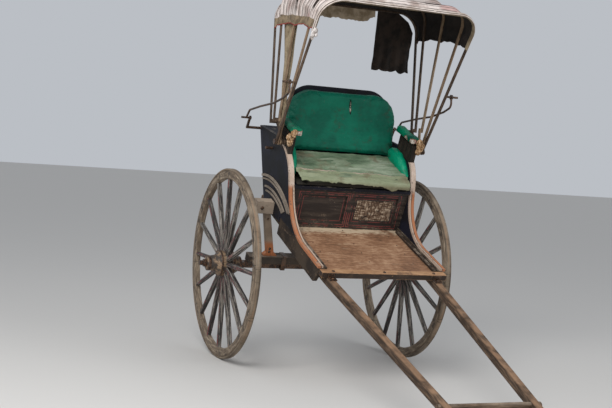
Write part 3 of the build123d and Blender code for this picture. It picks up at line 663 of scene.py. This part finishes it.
def puffed(name, mesh, shrink, cap, ease, dents=()):
    """A mesh remeshed, swollen by pressure with no point moving past the cap, and dented."""
    piece = new_piece(name, mesh)
    skin = bmesh.new()
    skin.from_mesh(piece.data)
    bmesh.ops.remove_doubles(skin, verts=skin.verts, dist=0.0002)
    bmesh.ops.recalc_face_normals(skin, faces=skin.faces)
    skin.to_mesh(piece.data)
    skin.free()
    apply_modifier(piece, "REMESH", "skin", mode="VOXEL", voxel_size=0.006)
    apply_modifier(piece, "SMOOTH", "ease", factor=0.5, iterations=ease)
    push(piece, lambda co: -shrink)
    rest = [v.co.copy() for v in piece.data.vertices]
    cloth = piece.modifiers.new("air", "CLOTH")
    cloth.settings.use_pressure = True
    cloth.settings.uniform_pressure_force = 4
    cloth.settings.effector_weights.gravity = 0
    for step in range(air_steps):
        bpy.context.scene.frame_set(step + 1)
    grown = piece.evaluated_get(bpy.context.evaluated_depsgraph_get()).data
    ends = [v.co.copy() for v in grown.vertices]
    piece.modifiers.remove(cloth)
    bpy.context.scene.frame_set(1)
    for vert, old, new in zip(piece.data.vertices, rest, ends):
        move = new - old
        if move.length > cap:
            move *= cap / move.length
        vert.co = old + move
    apply_modifier(piece, "SUBSURF", "finer", levels=1, render_levels=1)

    def lumps(co):
        depth = 0.0035 * noise.noise(co * 9) + 0.0012 * noise.noise(co * 34)
        for centre, reach, deep in dents:
            depth -= deep * max(0.0, 1 - ((co - centre).length / reach) ** 2) ** 2
        return depth

    push(piece, lumps)
    for face in piece.data.polygons:
        face.use_smooth = True
    piece.data.materials.clear()
    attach(piece, "frame")
    return piece


def coated_cloth(name, light, dark, split=None, stuffing=(), rough=0.42):
    """Green coated cloth with grain, grime and creases, slit at a place with painted shade round
    the slit, or torn open round some.
    """
    made = material(name)
    here = spot(made)
    shade = mottle(here, 7.0, 5)
    grime = between(mottle(here, 12.0, 7, 0.7), 0.54, 0.70)
    colour = mix(between(shade, 0.36, 0.64), light, dark)
    colour = mix(grime * 0.55, colour, (0.035, 0.030, 0.018))
    scuff = between(mottle(here, 48.0, 8, 0.75), 0.62, 0.68)
    colour = mix(scuff * 0.5, colour, (0.10, 0.16, 0.12))
    crease = mottle(here, (9, 30, 30), 4)
    height = crease * 0.8 + mottle(here, 420.0, 2) * 0.06
    if split:
        # the slit is a tall thin lens on the front of the cushion, with pale stuffing in it and a
        # near-black ring of painted shade round it
        (x, z), half, tall = split
        aside, _, rise = parts(spot(made, centre=(x, 0, z)))
        ragged = (mottle(here, 90.0, 3) - 0.5) * 0.006
        u = (aside + rise * 0.12 + ragged) / half
        v = rise / tall
        far = u * u + v * v
        shaded_lip = between(far, 2.3, 1.2)
        hole = between(far, 1.0, 0.7)
        colour = mix(shaded_lip, colour, (0.006, 0.012, 0.008))
        tow = between(mottle(here, 120.0, 4) - v * 0.10, 0.44, 0.56)
        colour = mix(hole * tow, colour, (0.42, 0.38, 0.30))
        height = height - shaded_lip * 2.0
    for centre, reach in stuffing:
        away = node(made, "VectorMath", {0: here, 1: centre}, out="Value", operation="DISTANCE")
        torn = away / reach + (mottle(here, 55.0, 5) - 0.5) * 1.8
        hole = between(torn, 1.0, 0.9)
        rim = between(torn, 1.25, 1.1) * between(torn, 0.9, 1.0)
        colour = mix(rim, colour, (0.33, 0.13, 0.10))
        tow = mix(between(mottle(here, 90.0, 5), 0.4, 0.6), (0.62, 0.57, 0.50), (0.30, 0.24, 0.18))
        colour = mix(hole, colour, tow)
        height = height + hole * mottle(here, 150.0, 3)
    return coat(colour, rough, height, 0.006, 0.8, shine=0.22)


def back_y(z):
    """Where the leaning front of the backrest is at a height, on the level body."""
    return 0.047 + (z - 1.262) * tan(radians(17))


def on_back(x, z):
    return level(x, back_y(z), z)


def upholster(piece, made, stands_for):
    """Gives a padded piece its cloth, and the CAD node whose place it takes."""
    piece.data.materials.append(made)
    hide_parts(stands_for)


slit = on_back(0.035, 1.52)
back_shape = nodes["backrest_cushion"].data.copy()
top = max(v.co.z for v in back_shape.vertices)
# the cloth overhangs the board a little at both sides and below
wider = Matrix.Diagonal((1.032, 1, 1.028, 1))
back_shape.transform(Matrix.Translation((0, 0, top)) @ wider @ Matrix.Translation((0, 0, -top)))
dents = [
    (on_back(-0.05, 1.40), 0.20, 0.012), (on_back(0.16, 1.36), 0.14, 0.008), (slit, 0.05, 0.006)]
back = puffed("backrest_pad", back_shape, 0.0, 0.014, 4, dents)
back_green = coated_cloth(
    "backrest_green", (0.0, 0.150, 0.088), (0.0, 0.095, 0.058),
    split=((slit.x, slit.z), 0.0050, 0.032), rough=0.55)
upholster(back, back_green, "backrest_cushion")

# Bolsters and arm rolls: the bolsters line the inside of each scroll, thin at its front edge
# and thick at the backrest. A roll lies on each arm, torn open to its stuffing at the front.
panel_x, panel_foot, panel_flare = 0.35, 0.922, radians(3.3)
# a bolster's thickness at heights on the level body
bolster_rows = (
    (1.168, 0.020), (1.20, 0.028), (1.235, 0.036), (1.27, 0.042), (1.30, 0.044), (1.318, 0.030))


def scroll_edge(z):
    """Where the side panel's front edge is at a height, on the level body: straight, then round."""
    if z < 1.19925:
        return -0.2345 + (z - 1.1039) / tan(radians(65))
    return 0.00299 - (0.213 ** 2 - (z - 1.10923) ** 2) ** 0.5


def lining_mesh(side):
    """The bolster's closed shape: stations from the front edge to the backrest at each height."""
    skin = bmesh.new()
    rings = []
    for z, deep in bolster_rows:
        front = scroll_edge(z) + 0.010
        rear = max(back_y(z) - 0.004, front + 0.05)
        panel = panel_x + (z - panel_foot) * tan(panel_flare) - 0.001
        ring = [
            skin.verts.new(level(side * panel, front, z)),
            skin.verts.new(level(side * panel, rear, z))]
        for f, share in ((1.0, 1.55), (0.75, 1.5), (0.5, 1.35), (0.25, 1.1), (0.08, 0.7)):
            ring.append(
                skin.verts.new(level(side * (panel - deep * share), front + (rear - front) * f, z)))
        rings.append(ring)
    for low, high in zip(rings, rings[1:]):
        for i in range(len(low)):
            j = (i + 1) % len(low)
            skin.faces.new((low[i], low[j], high[j], high[i]))
    skin.faces.new(rings[0][::-1])
    skin.faces.new(rings[-1])
    bmesh.ops.triangulate(skin, faces=skin.faces)
    mesh = bpy.data.meshes.new("bolster")
    skin.to_mesh(mesh)
    skin.free()
    return mesh


arm_tears = (
    (0.350, -0.128, 1.420, 0.021), (0.340, -0.055, 1.416, 0.020), (0.395, -0.136, 1.418, 0.018))
# the bolsters' green is painted brighter than the arm rolls' and the backrest's: painted light, as
# if sunlit
sunlit_green = coated_cloth("bolster_green_painted_light", (0.0, 0.36, 0.19), (0.0, 0.22, 0.115))
for name, side in wheel_sides:
    piece = puffed("bolster_" + name, lining_mesh(side), 0.002, 0.008, 4)
    upholster(piece, sunlit_green, "arm_bolster_" + name)
    tears = [(tuple(level(side * x, y, z)), reach) for x, y, z, reach in arm_tears]
    dents = [(level(side * 0.37, -0.03, 1.46), 0.07, 0.006)]
    roll = puffed("arm_roll_" + name, nodes["arm_pad_" + name].data.copy(), 0.002, 0.006, 9, dents)
    arm_green = coated_cloth(
        "arm_green_" + name, (0.0, 0.20, 0.10), (0.0, 0.07, 0.042), stuffing=tears)
    upholster(roll, arm_green, "arm_pad_" + name)

# Seat cushion: a flat pad stuffed with coir under faded green cotton, sat hollow on both sides. Its
# low edge is painted near black: a painted shadow under the seat cover's flap.


def seat_cloth():
    made = material("seat_cloth")
    here = spot(made)
    folds = mottle(here, (4, 16, 10), 6, 0.62)
    faded = tones(
        folds, (0.36, (0.075, 0.10, 0.058)), (0.48, (0.16, 0.205, 0.125)),
        (0.60, (0.27, 0.32, 0.225)))
    brown = between(mottle(here, 9.0, 6, 0.65), 0.50, 0.66)
    low = parts(on_level(made))[2]
    # the low edge is painted near black: a painted shadow under the seat cover's flap; the brown
    # patches are stains
    shaded_hem = between(low, 0.650, 0.632)
    stained_and_shaded = mix(brown * 0.75, faded, (0.16, 0.13, 0.075))
    stained_and_shaded = mix(shaded_hem, stained_and_shaded, (0.020, 0.016, 0.011))
    weft = mottle(here, (60, 700, 700), 2)
    return coat(stained_and_shaded, 0.93, folds + weft * 0.05, 0.010, 0.9)


dents = [(level(0.14, -0.10, 1.23), 0.20, 0.014), (level(-0.16, -0.09, 1.23), 0.20, 0.012)]
cushion = puffed("seat_pad", nodes["seat_cushion"].data.copy(), 0.002, 0.009, 5, dents)
upholster(cushion, seat_cloth(), "seat_cushion")

# Hood: five bent bows on the arm pins and, between each two, a gore of striped cotton lined in dark
# brown, painted near black as painted shade under the hood. It is tacked to the bows, faced with
# khaki along its low edges and piped with red.
pivot_y, pivot_z = 0.485372, 1.274907
# each bow from the rear: degrees forward of upright, half width, top above the pin, distance
# behind the pin, and the cloth's low edge above the pin
bows = (
    (-3.6, 0.455, 0.820, 0.119, 0.645),
    (0.9, 0.455, 0.870, 0.080, 0.645),
    (13.2, 0.455, 0.887, 0.031, 0.645),
    (27.4, 0.453, 0.902, 0.0, 0.687),
    (34.9, 0.465, 0.917, 0.0, 0.705),
)
bow_corner = 0.12


def on_bow(k, x, up, back=0.0):
    """A place in a bow's own frame: across, up from the pin, and behind the middle of the slat."""
    lean, behind = radians(bows[k][0]), bows[k][3] + back
    y, z = behind * cos(lean) - up * sin(lean), up * cos(lean) + behind * sin(lean)
    return Vector((x, pivot_y + y, pivot_z + z))


def ripple(x, y, z):
    """A smooth random value between -1 and 1 for a place."""
    return noise.noise(Vector((x, y, z)))


def hoop_run(k):
    """The length of cloth round a bow, from low edge to low edge."""
    _, half, top, _, low = bows[k]
    return 2 * (top - bow_corner - low + bow_corner * pi / 2 + half - bow_corner)


def hoop_place(k, s, out=0.0, back=0.0):
    """A place round a bow's outer face, s from 0 at the cloth's right low edge, and its way out."""
    _, half, top, _, _ = bows[k]
    flat, bend = half - bow_corner, bow_corner * pi / 2
    d, way = abs(s - 0.5) * hoop_run(k), (1 if s >= 0.5 else -1)
    turn = min(max((d - flat) / bow_corner, 0.0), pi / 2)
    down = max(d - flat - bend, 0.0)
    x = min(d, flat) + (bow_corner + out) * sin(turn)
    up = top - bow_corner + (bow_corner + out) * cos(turn) - down
    outward = on_bow(k, way * sin(turn), cos(turn)) - on_bow(k, 0, 0)
    return on_bow(k, way * x, up, back), outward


cloth_thick = 0.0014


def cloth_piece(name, columns, rows, place, mats):
    """A sheet over a grid. place(s, t) gives each point and its lengths on the flat cloth."""
    mesh = bpy.data.meshes.new(name)
    spots = [place(i / columns, j / rows) for j in range(rows + 1) for i in range(columns + 1)]
    faces = []
    for j in range(rows):
        for i in range(columns):
            a = j * (columns + 1) + i
            faces.append((a, a + columns + 1, a + columns + 2, a + 1))
    mesh.from_pydata([p for p, _ in spots], [], faces)
    layer = mesh.uv_layers.new(name="cloth")
    for loop in mesh.loops:
        layer.data[loop.index].uv = spots[loop.vertex_index][1]
    piece = new_piece(name, mesh)
    for made in mats:
        piece.data.materials.append(made)
    apply_modifier(piece, "SUBSURF", "finer", levels=1, render_levels=1)
    apply_modifier(
        piece, "SOLIDIFY", "cloth", thickness=cloth_thick, offset=1.0,
        material_offset=len(mats) - 1)
    for face in piece.data.polygons:
        face.use_smooth = True
    return piece


def flat_place(made):
    """The lengths on the flat cloth, as two values and one vector."""
    where = node(made, "UVMap", uv_map="cloth")
    across, along, _ = parts(where)
    return across, along, where


def weave(where, colour):
    """Ends a cotton material: a colour with threads and fine creases."""
    threads = mottle(where, (900, 90, 1), 2) + mottle(where, (90, 900, 1), 2)
    return coat(colour, 0.92, threads * 0.12 + mottle(where, 26.0, 5), 0.006, 0.6)


def shades(where, scale, detail, light, dark):
    return mix(between(mottle(where, scale, detail), 0.40, 0.62), light, dark)


def striped_cotton():
    made = material("hood_cotton")
    edge, along, where = flat_place(made)
    sway = mottle(where, 3.0, 3) * 0.5
    beat = calc("FRACT", along / 0.043 + sway)
    first = between(abs(beat - 0.36), 0.105, 0.06)
    second = between(abs(beat - 0.66), 0.065, 0.03)
    lines = calc("MAXIMUM", first, second)
    faded = shades(where, 11.0, 5, (0.74, 0.65, 0.60), (0.42, 0.33, 0.29))
    rose = mix(between(mottle(where, 5.0, 3), 0.52, 0.66), faded, (0.55, 0.36, 0.33))
    striped = mix(lines * between(mottle(where, 60.0, 4), 0.22, 0.31), rose, (0.026, 0.016, 0.012))
    scallop = mottle(where, 9.0, 2) * 0.032 + 0.040
    khaki = mix(
        between(mottle(where, 20.0, 5), 0.38, 0.62), (0.27, 0.20, 0.125), (0.12, 0.085, 0.05))
    faced = mix(between(edge - scallop, 0.002, -0.002), striped, khaki)
    piped = mix(between(edge, 0.0075, 0.006), faced, (0.26, 0.035, 0.028))
    grime = between(mottle(where, 7.0, 7, 0.7), 0.56, 0.76)
    return weave(where, mix(grime * 0.55, piped, (0.10, 0.07, 0.05)))


def old_cloth(name, light, dark):
    made = material(name)
    _, _, where = flat_place(made)
    return weave(where, shades(where, 14.0, 6, light, dark))


cotton = striped_cotton()
# the lining's near-black brown is painted shade under the hood
shaded_lining = old_cloth("hood_lining", (0.016, 0.010, 0.007), (0.006, 0.004, 0.003))
gore_rows, above_slat, slat_half = 16, 0.0015, 0.0108
tops = [on_bow(k, 0, bow[2]) for k, bow in enumerate(bows)]
gore_starts = [0.0]
for rear_top, front_top in zip(tops, tops[1:]):
    gore_starts.append(gore_starts[-1] + (front_top - rear_top).length)


def gore_place(k):
    """Places on gore k: its end rows lie on the slats, and between them it sags and creases."""
    def place(s, t):
        row = t * gore_rows
        f = min(max((row - 1) / (gore_rows - 2), 0.0), 1.0)
        rear, way_rear = hoop_place(k, s, above_slat, 0.0 if row < 0.5 else -slat_half)
        front_back = 0.0 if row > gore_rows - 0.5 else slat_half
        front, way_front = hoop_place(k + 1, s, above_slat, front_back)
        out = way_rear.lerp(way_front, f).normalized()
        slack = sin(pi * f)
        fold = 0.005 * ripple(s * 30, f * 1.4, k * 3.1)
        fold += 0.006 * ripple(s * 10, f * 3, k + 5.5)
        length = gore_starts[k + 1] - gore_starts[k]
        edge = min(s, 1 - s) * (hoop_run(k) * (1 - f) + hoop_run(k + 1) * f)
        spot = rear.lerp(front, f) + out * slack * (fold - 0.010 - 0.05 * length * abs(out.z))
        ruffle = 0.007 * ripple(t * 5, s * 2, k + 9.0) + 0.009 * slack
        spot.z += ruffle * max(0.0, 1 - edge / 0.06)
        return spot, (edge, gore_starts[k] + length * f)
    return place


for k in range(4):
    piece = cloth_piece(
        "hood_gore_%d" % (k + 1), 120, gore_rows, gore_place(k), [cotton, shaded_lining])
    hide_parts("hood_cloth_%d" % (k + 1))
    span = (bows[k][2] + bows[k + 1][2]) / 2
    on_bow(k, 0, span, -0.01)
    on_bow(k + 1, 0, span, 0.01)
    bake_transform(piece)

# Front binding: an olive strip folded round the inside of the front bow and, from the bow's
# front edge back over the last gore, a strip of the striped cotton.
# its section round the bow's slat: behind the slat's middle, and out from its outer face
binding_section = (
    (0.0112, -0.0088), (0.0, -0.0092), (-0.0112, -0.0086), (-0.0128, -0.003),
    (-0.0112, 0.0040), (0.0, 0.0044), (0.0125, 0.0042),
)


def binding_place(s, t):
    back, out = binding_section[round(t * 6)]
    puff = 0.0012 * ripple(s * 60, t * 2, 1.0)
    place, _ = hoop_place(4, 0.003 + 0.994 * s, out + (puff if out > 0 else -abs(puff)), back)
    return place, (s * 1.42, t * 0.05)


def binding_cloth():
    made = material("binding_cloth")
    _, across, where = flat_place(made)
    khaki = shades(where, 14.0, 6, (0.30, 0.235, 0.15), (0.15, 0.11, 0.065))
    cotton_shade = shades(where, 11.0, 5, (0.70, 0.61, 0.55), (0.46, 0.37, 0.31))
    place = across + (mottle(where, 6.0, 3) - 0.5) * 0.006
    wrapped = mix(between(place, 0.0235, 0.0245), khaki, cotton_shade)
    first = between(abs(place - 0.0255), 0.0024, 0.0014)
    lines = calc("MAXIMUM", first, between(abs(place - 0.0375), 0.0030, 0.0018))
    lined = lines * between(mottle(where, 30.0, 4), 0.30, 0.42)
    return weave(where, mix(lined, wrapped, (0.045, 0.030, 0.022)))


piece = cloth_piece("hood_binding", 200, 6, binding_place, [binding_cloth()])
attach(piece, "hood_5")

# Rear valance: a khaki strip tacked over the rear bow's bar and hanging a hand's breadth
# behind it, with its left end torn short.


def valance_place(s, t):
    x = -0.365 + 0.545 * s
    torn = 0.030 * min(max((s - 0.88) / 0.10, 0.0), 1.0) + 0.010 * ripple(s * 30, 0.3, 2.0)
    fall = t * (0.098 - torn)
    back = min(0.0125, fall * 0.7 - 0.006) + 0.006 * t * ripple(s * 22, 0.5, 6.0)
    up = bows[0][2] + 0.0022 - max(fall - 0.022, 0.0)
    return on_bow(0, x, up, back), (s * 0.545, t * 0.098)


# the valance's khaki is painted about twice as light as the side strip's: painted light shining
# through it from behind
backlit_khaki = old_cloth("valance_cloth", (0.62, 0.50, 0.36), (0.33, 0.25, 0.16))
piece = cloth_piece("rear_valance", 90, 14, valance_place, [backlit_khaki])
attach(piece, "hood_1")

# Rear curtain: what is left of the dark back cloth, nailed to the rear bow's left half and hanging
# down to the backrest; it is painted near black, partly its own dark brown and partly painted
# shade. Its rim follows the bow: x, and how far it is below the bow's top.
curtain_rim = ((0.19, 0.0), (0.33, 0.0), (0.40, 0.045), (0.436, 0.105))


def curtain_place(s, t):
    x = 0.19 + 0.246 * s
    drop = 0.0
    for (x0, d0), (x1, d1) in zip(curtain_rim, curtain_rim[1:]):
        if x0 <= x <= x1 + 1e-6:
            drop = d0 + (d1 - d0) * (x - x0) / (x1 - x0)
    length = 0.342 + 0.016 * ripple(s * 7, 4.0, 0.0)
    fall = drop + (length - drop) * t
    lean = radians(7.9)
    wave = t * (0.007 * sin(s * 26 + 1.5 * t) + 0.006 * ripple(s * 9, t * 2, 3.0))
    x += -0.016 * t * sin(pi * t) * (s - 0.1) + 0.004 * ripple(s, t * 6, 8.0)
    place = on_bow(0, x, bows[0][2] - 0.0075 - fall * cos(lean), fall * sin(lean) + wave)
    return place, (s * 0.27, fall)


# the curtain's near black is partly its own dark brown, partly painted shade under the hood
shaded_dark_brown = old_cloth("curtain_cloth", (0.030, 0.019, 0.013), (0.009, 0.006, 0.004))
piece = cloth_piece("rear_curtain_cloth", 60, 60, curtain_place, [shaded_dark_brown])
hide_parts("rear_curtain")
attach(piece, "hood_1")

# Side strip: a khaki rag that hangs inside the right legs of the bows. It is wide at its top
# and bunched and tied at the pin.
strip_x = -0.434


def strip_place(s, t):
    wide = (1 - t) ** 1.3
    rear, front = 0.492 + 0.058 * wide, 0.472 - 0.112 * wide
    y = rear + (front - rear) * s
    z = 1.935 - 0.575 * t + 0.012 * ripple(s * 4, 0, 5.0) * (1 - t)
    depth = (0.004 + 0.006 * t) * sin(s * 19 + 3 * t) + 0.006 * ripple(s * 5, t * 4, 1.0)
    return Vector((strip_x + depth, y, z)), (s * 0.19, t * 0.6)


khaki = old_cloth("khaki_cloth", (0.30, 0.235, 0.15), (0.15, 0.11, 0.065))
piece = cloth_piece("side_strip", 36, 70, strip_place, [khaki])
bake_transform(piece)

# Seat cover: a worn green cloth laid loose and crumpled on the cushion, with a fold across its
# front third and its ragged edge hanging over. Its path runs from the back over the front edge.
cover_path = (
    (0.040, 1.262), (-0.219, 1.2145), (-0.243, 1.206), (-0.2515, 1.190), (-0.2535, 1.165),
    (-0.2545, 1.125))


def cover_place(s, t):
    hang = 0.010 + 0.026 * s * s + 0.026 * max(0.0, 1 - abs(s - 0.84) / 0.05)
    hang += 0.010 * ripple(s * 16, 2.0, 0.0) + 0.007 * ripple(s * 60, 5.0, 0.0)
    way = t * (0.288 + hang)
    for (y0, z0), (y1, z1) in zip(cover_path, cover_path[1:]):
        step = hypot(y1 - y0, z1 - z0)
        if way <= step or (y1, z1) == cover_path[-1]:
            break
        way -= step
    f = way / step
    y, z = y0 + (y1 - y0) * f, z0 + (z1 - z0) * f
    x = (s - 0.5) * 2 * (0.338 + 0.010 * sin(pi * t))
    near = min(1.0, (1 - t) * 6 + 0.25)
    wrinkle = 0.0055 * ripple(s * 5, t * 13, 1.0) + 0.0022 * ripple(s * 30, t * 26, 2.0)
    wrinkle += 0.004 * ripple(s * 11 + t * 6, t * 22, 7.0)
    if t > 0.86:
        y -= 0.006 * abs(ripple(s * 18, t * 3, 4.0)) * (t - 0.86) / 0.14
    dip = 0.010 * sin(pi * min(t / 0.8, 1.0)) * (0.5 + 0.5 * sin(pi * s * 2 - 0.6))
    fold = t - 0.66 - 0.03 * s - 0.01 * ripple(s * 6, 0, 11.0)
    dip -= 0.007 * exp(-(fold / 0.020) ** 2) - 0.006 * exp(-((fold - 0.055) / 0.025) ** 2)
    return level(x, y, z + wrinkle * near - dip), (s * 0.69, t * 0.36)


def rag_cloth():
    made = material("seat_rag")
    side_edge, down, where = flat_place(made)
    here = spot(made)
    folds = mottle(here, (3.5, 11, 8), 7, 0.62)
    faded = tones(
        folds, (0.36, (0.080, 0.125, 0.070)), (0.49, (0.165, 0.225, 0.138)),
        (0.62, (0.30, 0.35, 0.25)))
    # the fold's edge wanders across the seat, paler in front of it, with a shadow behind
    wander = (mottle(where, 7.0, 3) - 0.5) * 0.020
    from_fold = down - 0.238 - side_edge * 0.016 + wander
    faded = mix(between(from_fold, 0.0, 0.006) * 0.6, faded, (0.30, 0.31, 0.185))
    shadow = between(abs(from_fold + 0.005), 0.0040, 0.0015) * between(folds, 0.40, 0.50)
    faded = mix(shadow, faded, (0.055, 0.060, 0.036))
    faded = mix(between(abs(from_fold), 0.0028, 0.0012), faded, (0.50, 0.37, 0.30))
    brown = between(mottle(here, 8.0, 6, 0.65), 0.52, 0.66)
    low = parts(on_level(made))[2]
    # the low hem is darkened with brown: partly stains, partly painted shade at the bottom of the
    # flap
    shaded_hem = between(low, 0.660, 0.630)
    stain = mix(mottle(here, 30.0, 5), (0.25, 0.215, 0.13), (0.10, 0.085, 0.045))
    return weave(where, mix(calc("MAXIMUM", brown, shaded_hem) * 0.8, faded, stain))


piece = cloth_piece("seat_cover", 120, 70, cover_place, [rag_cloth()])
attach(piece, "frame")

# Bows, arm blocks and irons: bows of cane bent to a U on forged feet, darkened by hands; the
# third and the fourth keep bare tan wood. The blocks carry the iron pins they turn on.
block_wood = ((0.008, 0.007, 0.006), (0.022, 0.016, 0.012), (0.07, 0.048, 0.034))
dress(weathered("block_wood", along_z, block_wood, dust_and_top_light=0.1), "arm_block")
bow_woods = (
    ((0.030, 0.020, 0.013), (0.075, 0.05, 0.033), (0.16, 0.11, 0.075)),
    ((0.030, 0.020, 0.013), (0.085, 0.055, 0.036), (0.19, 0.13, 0.09)),
    ((0.11, 0.07, 0.04), (0.25, 0.17, 0.105), (0.42, 0.31, 0.21)),
    ((0.10, 0.062, 0.035), (0.22, 0.145, 0.088), (0.36, 0.25, 0.165)),
    ((0.03, 0.02, 0.014), (0.075, 0.048, 0.032), (0.17, 0.11, 0.07)),
)
for i, wood in enumerate(bow_woods):
    dress(weathered("bow_wood_%d" % (i + 1), along_z, wood, dust_and_top_light=0.3), "hood_bow_%d" % (i + 1))
dress(iron, "hood_pin", "hood_stay", "side_lugs")

# Rivets: round iron heads where the bows' legs are held to their forged feet, three on each
# leg. On the two front bows, whose feet are straight, they are spread wider.
for k, (_, half, top, behind, _) in enumerate(bows):
    heads = []
    for side in (-1, 1):
        sideways = Vector((side, 0, 0))
        for up in ((0.115, 0.127, 0.335) if behind else (0.10, 0.335, 0.56)):
            heads.append(dome(on_bow(k, side * half, up), sideways, 0.0048, 0.0026))
    iron_piece("bow_rivets_%d" % (k + 1), heads, "hood_%d" % (k + 1))

# Rags: strips of old cloth and cord knotted round the arms beside the pins, and a pale one
# at the right low edge of the front gore.


def rag(name, dark, shade, light):
    made = material(name)
    here = spot(made)
    strand = mottle(here, (150, 60, 60), 4)
    # the darkest and palest strands are painted shadow and painted highlight between the folds,
    # about the rag's own middle colour
    return coat(tones(strand, (0.36, dark), (0.48, shade), (0.62, light)), 0.95, strand, 0.004)


def knot(name, bunches, ties, made, body):
    """A bunched rag: lumps as centre, radii and lean, and ties as centre, radius and lean."""
    parts = []
    for centre, radii, lean in bunches:
        clear_selection()
        turn = [radians(a) for a in lean]
        bpy.ops.mesh.primitive_uv_sphere_add(
            segments=28, ring_count=18, radius=1, location=centre, scale=radii, rotation=turn)
        parts.append(bpy.context.object)
    for centre, radius, lean in ties:
        clear_selection()
        turn = [radians(a) for a in lean]
        bpy.ops.mesh.primitive_torus_add(
            major_segments=40, minor_segments=12, major_radius=radius, minor_radius=0.0045,
            location=centre, rotation=turn)
        parts.append(bpy.context.object)
    join(parts)
    bpy.ops.object.transform_apply()
    piece = bpy.context.object
    apply_modifier(piece, "REMESH", "tied", mode="VOXEL", voxel_size=0.0018)
    apply_modifier(piece, "SMOOTH", "ease", factor=0.5, iterations=2)

    def pleats(co):
        return 0.0034 * ripple(co.x * 130, co.y * 90, co.z * 28) + 0.0012 * noise.noise(co * 160)

    push(piece, pleats)
    finish_piece(name, made, body, smooth=80)


# each rag's colours run from painted shadow through its own colour to a painted highlight
tan_rag = rag("tan_rag", (0.055, 0.028, 0.012), (0.34, 0.19, 0.08), (0.62, 0.44, 0.28))
white_rag = rag("white_rag", (0.20, 0.16, 0.14), (0.60, 0.54, 0.50), (0.78, 0.73, 0.70))
for name, side in wheel_sides:
    bunches = [
        (level(side * 0.392, -0.140, 1.430), (0.019, 0.014, 0.020), (20, 0, 20)),
        (level(side * 0.408, -0.135, 1.402), (0.025, 0.012, 0.025), (15, 14 * side, 0)),
        (level(side * 0.402, -0.131, 1.366), (0.017, 0.009, 0.020), (20, -10 * side, 0)),
    ]
    ties = [
        (level(side * 0.399, -0.136, 1.412), 0.0190, (15, 18, 0)),
        (level(side * 0.405, -0.133, 1.380), 0.0150, (30, -14, 0)),
    ]
    knot("arm_rag_" + name, bunches, ties, tan_rag, "frame")
low = bows[4][4]
bunches = [
    (on_bow(4, -0.462, low + 0.024, -0.018), (0.014, 0.012, 0.015), (20, 0, 0)),
    (on_bow(4, -0.461, low + 0.002, -0.019), (0.018, 0.012, 0.014), (0, 25, 0)),
    (on_bow(4, -0.464, low - 0.020, -0.014), (0.009, 0.008, 0.016), (10, 0, 0)),
]
ties = [
    (on_bow(4, -0.461, low + 0.013, -0.016), 0.0130, (75, 10, 0)),
    (on_bow(4, -0.463, low - 0.010, -0.014), 0.0100, (20, 0, 0)),
]
knot("hood_knot", bunches, ties, white_rag, "hood_5")

# The floor and the light: a plain pale floor, a pale sky and two large soft lamps.
clear_selection()
bpy.ops.mesh.primitive_plane_add(size=60)
ground = bpy.context.object
ground.name = "ground"
made = material("pale_floor")
for key, value in (("Base Color", rgba((0.62, 0.60, 0.57))), ("Roughness", 0.9)):
    made.node_tree.nodes["Principled BSDF"].inputs[key].default_value = value
ground.data.materials.append(made)
world = bpy.data.worlds.new("sky")
world.use_nodes = True
sky = world.node_tree.nodes["Background"]
sky.inputs["Color"].default_value = rgba((0.80, 0.84, 0.90))
sky.inputs["Strength"].default_value = 0.62
bpy.context.scene.world = world
# each lamp's place, turn in degrees, size and power
lamps = (((-3.2, -2.5, 4.2), (38, 0, -52), 2.6, 190), ((3.6, -3.5, 3.4), (52, 0, 46), 3.2, 60))
for place, turn, size, power in lamps:
    bpy.ops.object.light_add(type="AREA", location=place, rotation=[radians(a) for a in turn])
    lamp = bpy.context.object
    lamp.data.size = size
    lamp.data.energy = power
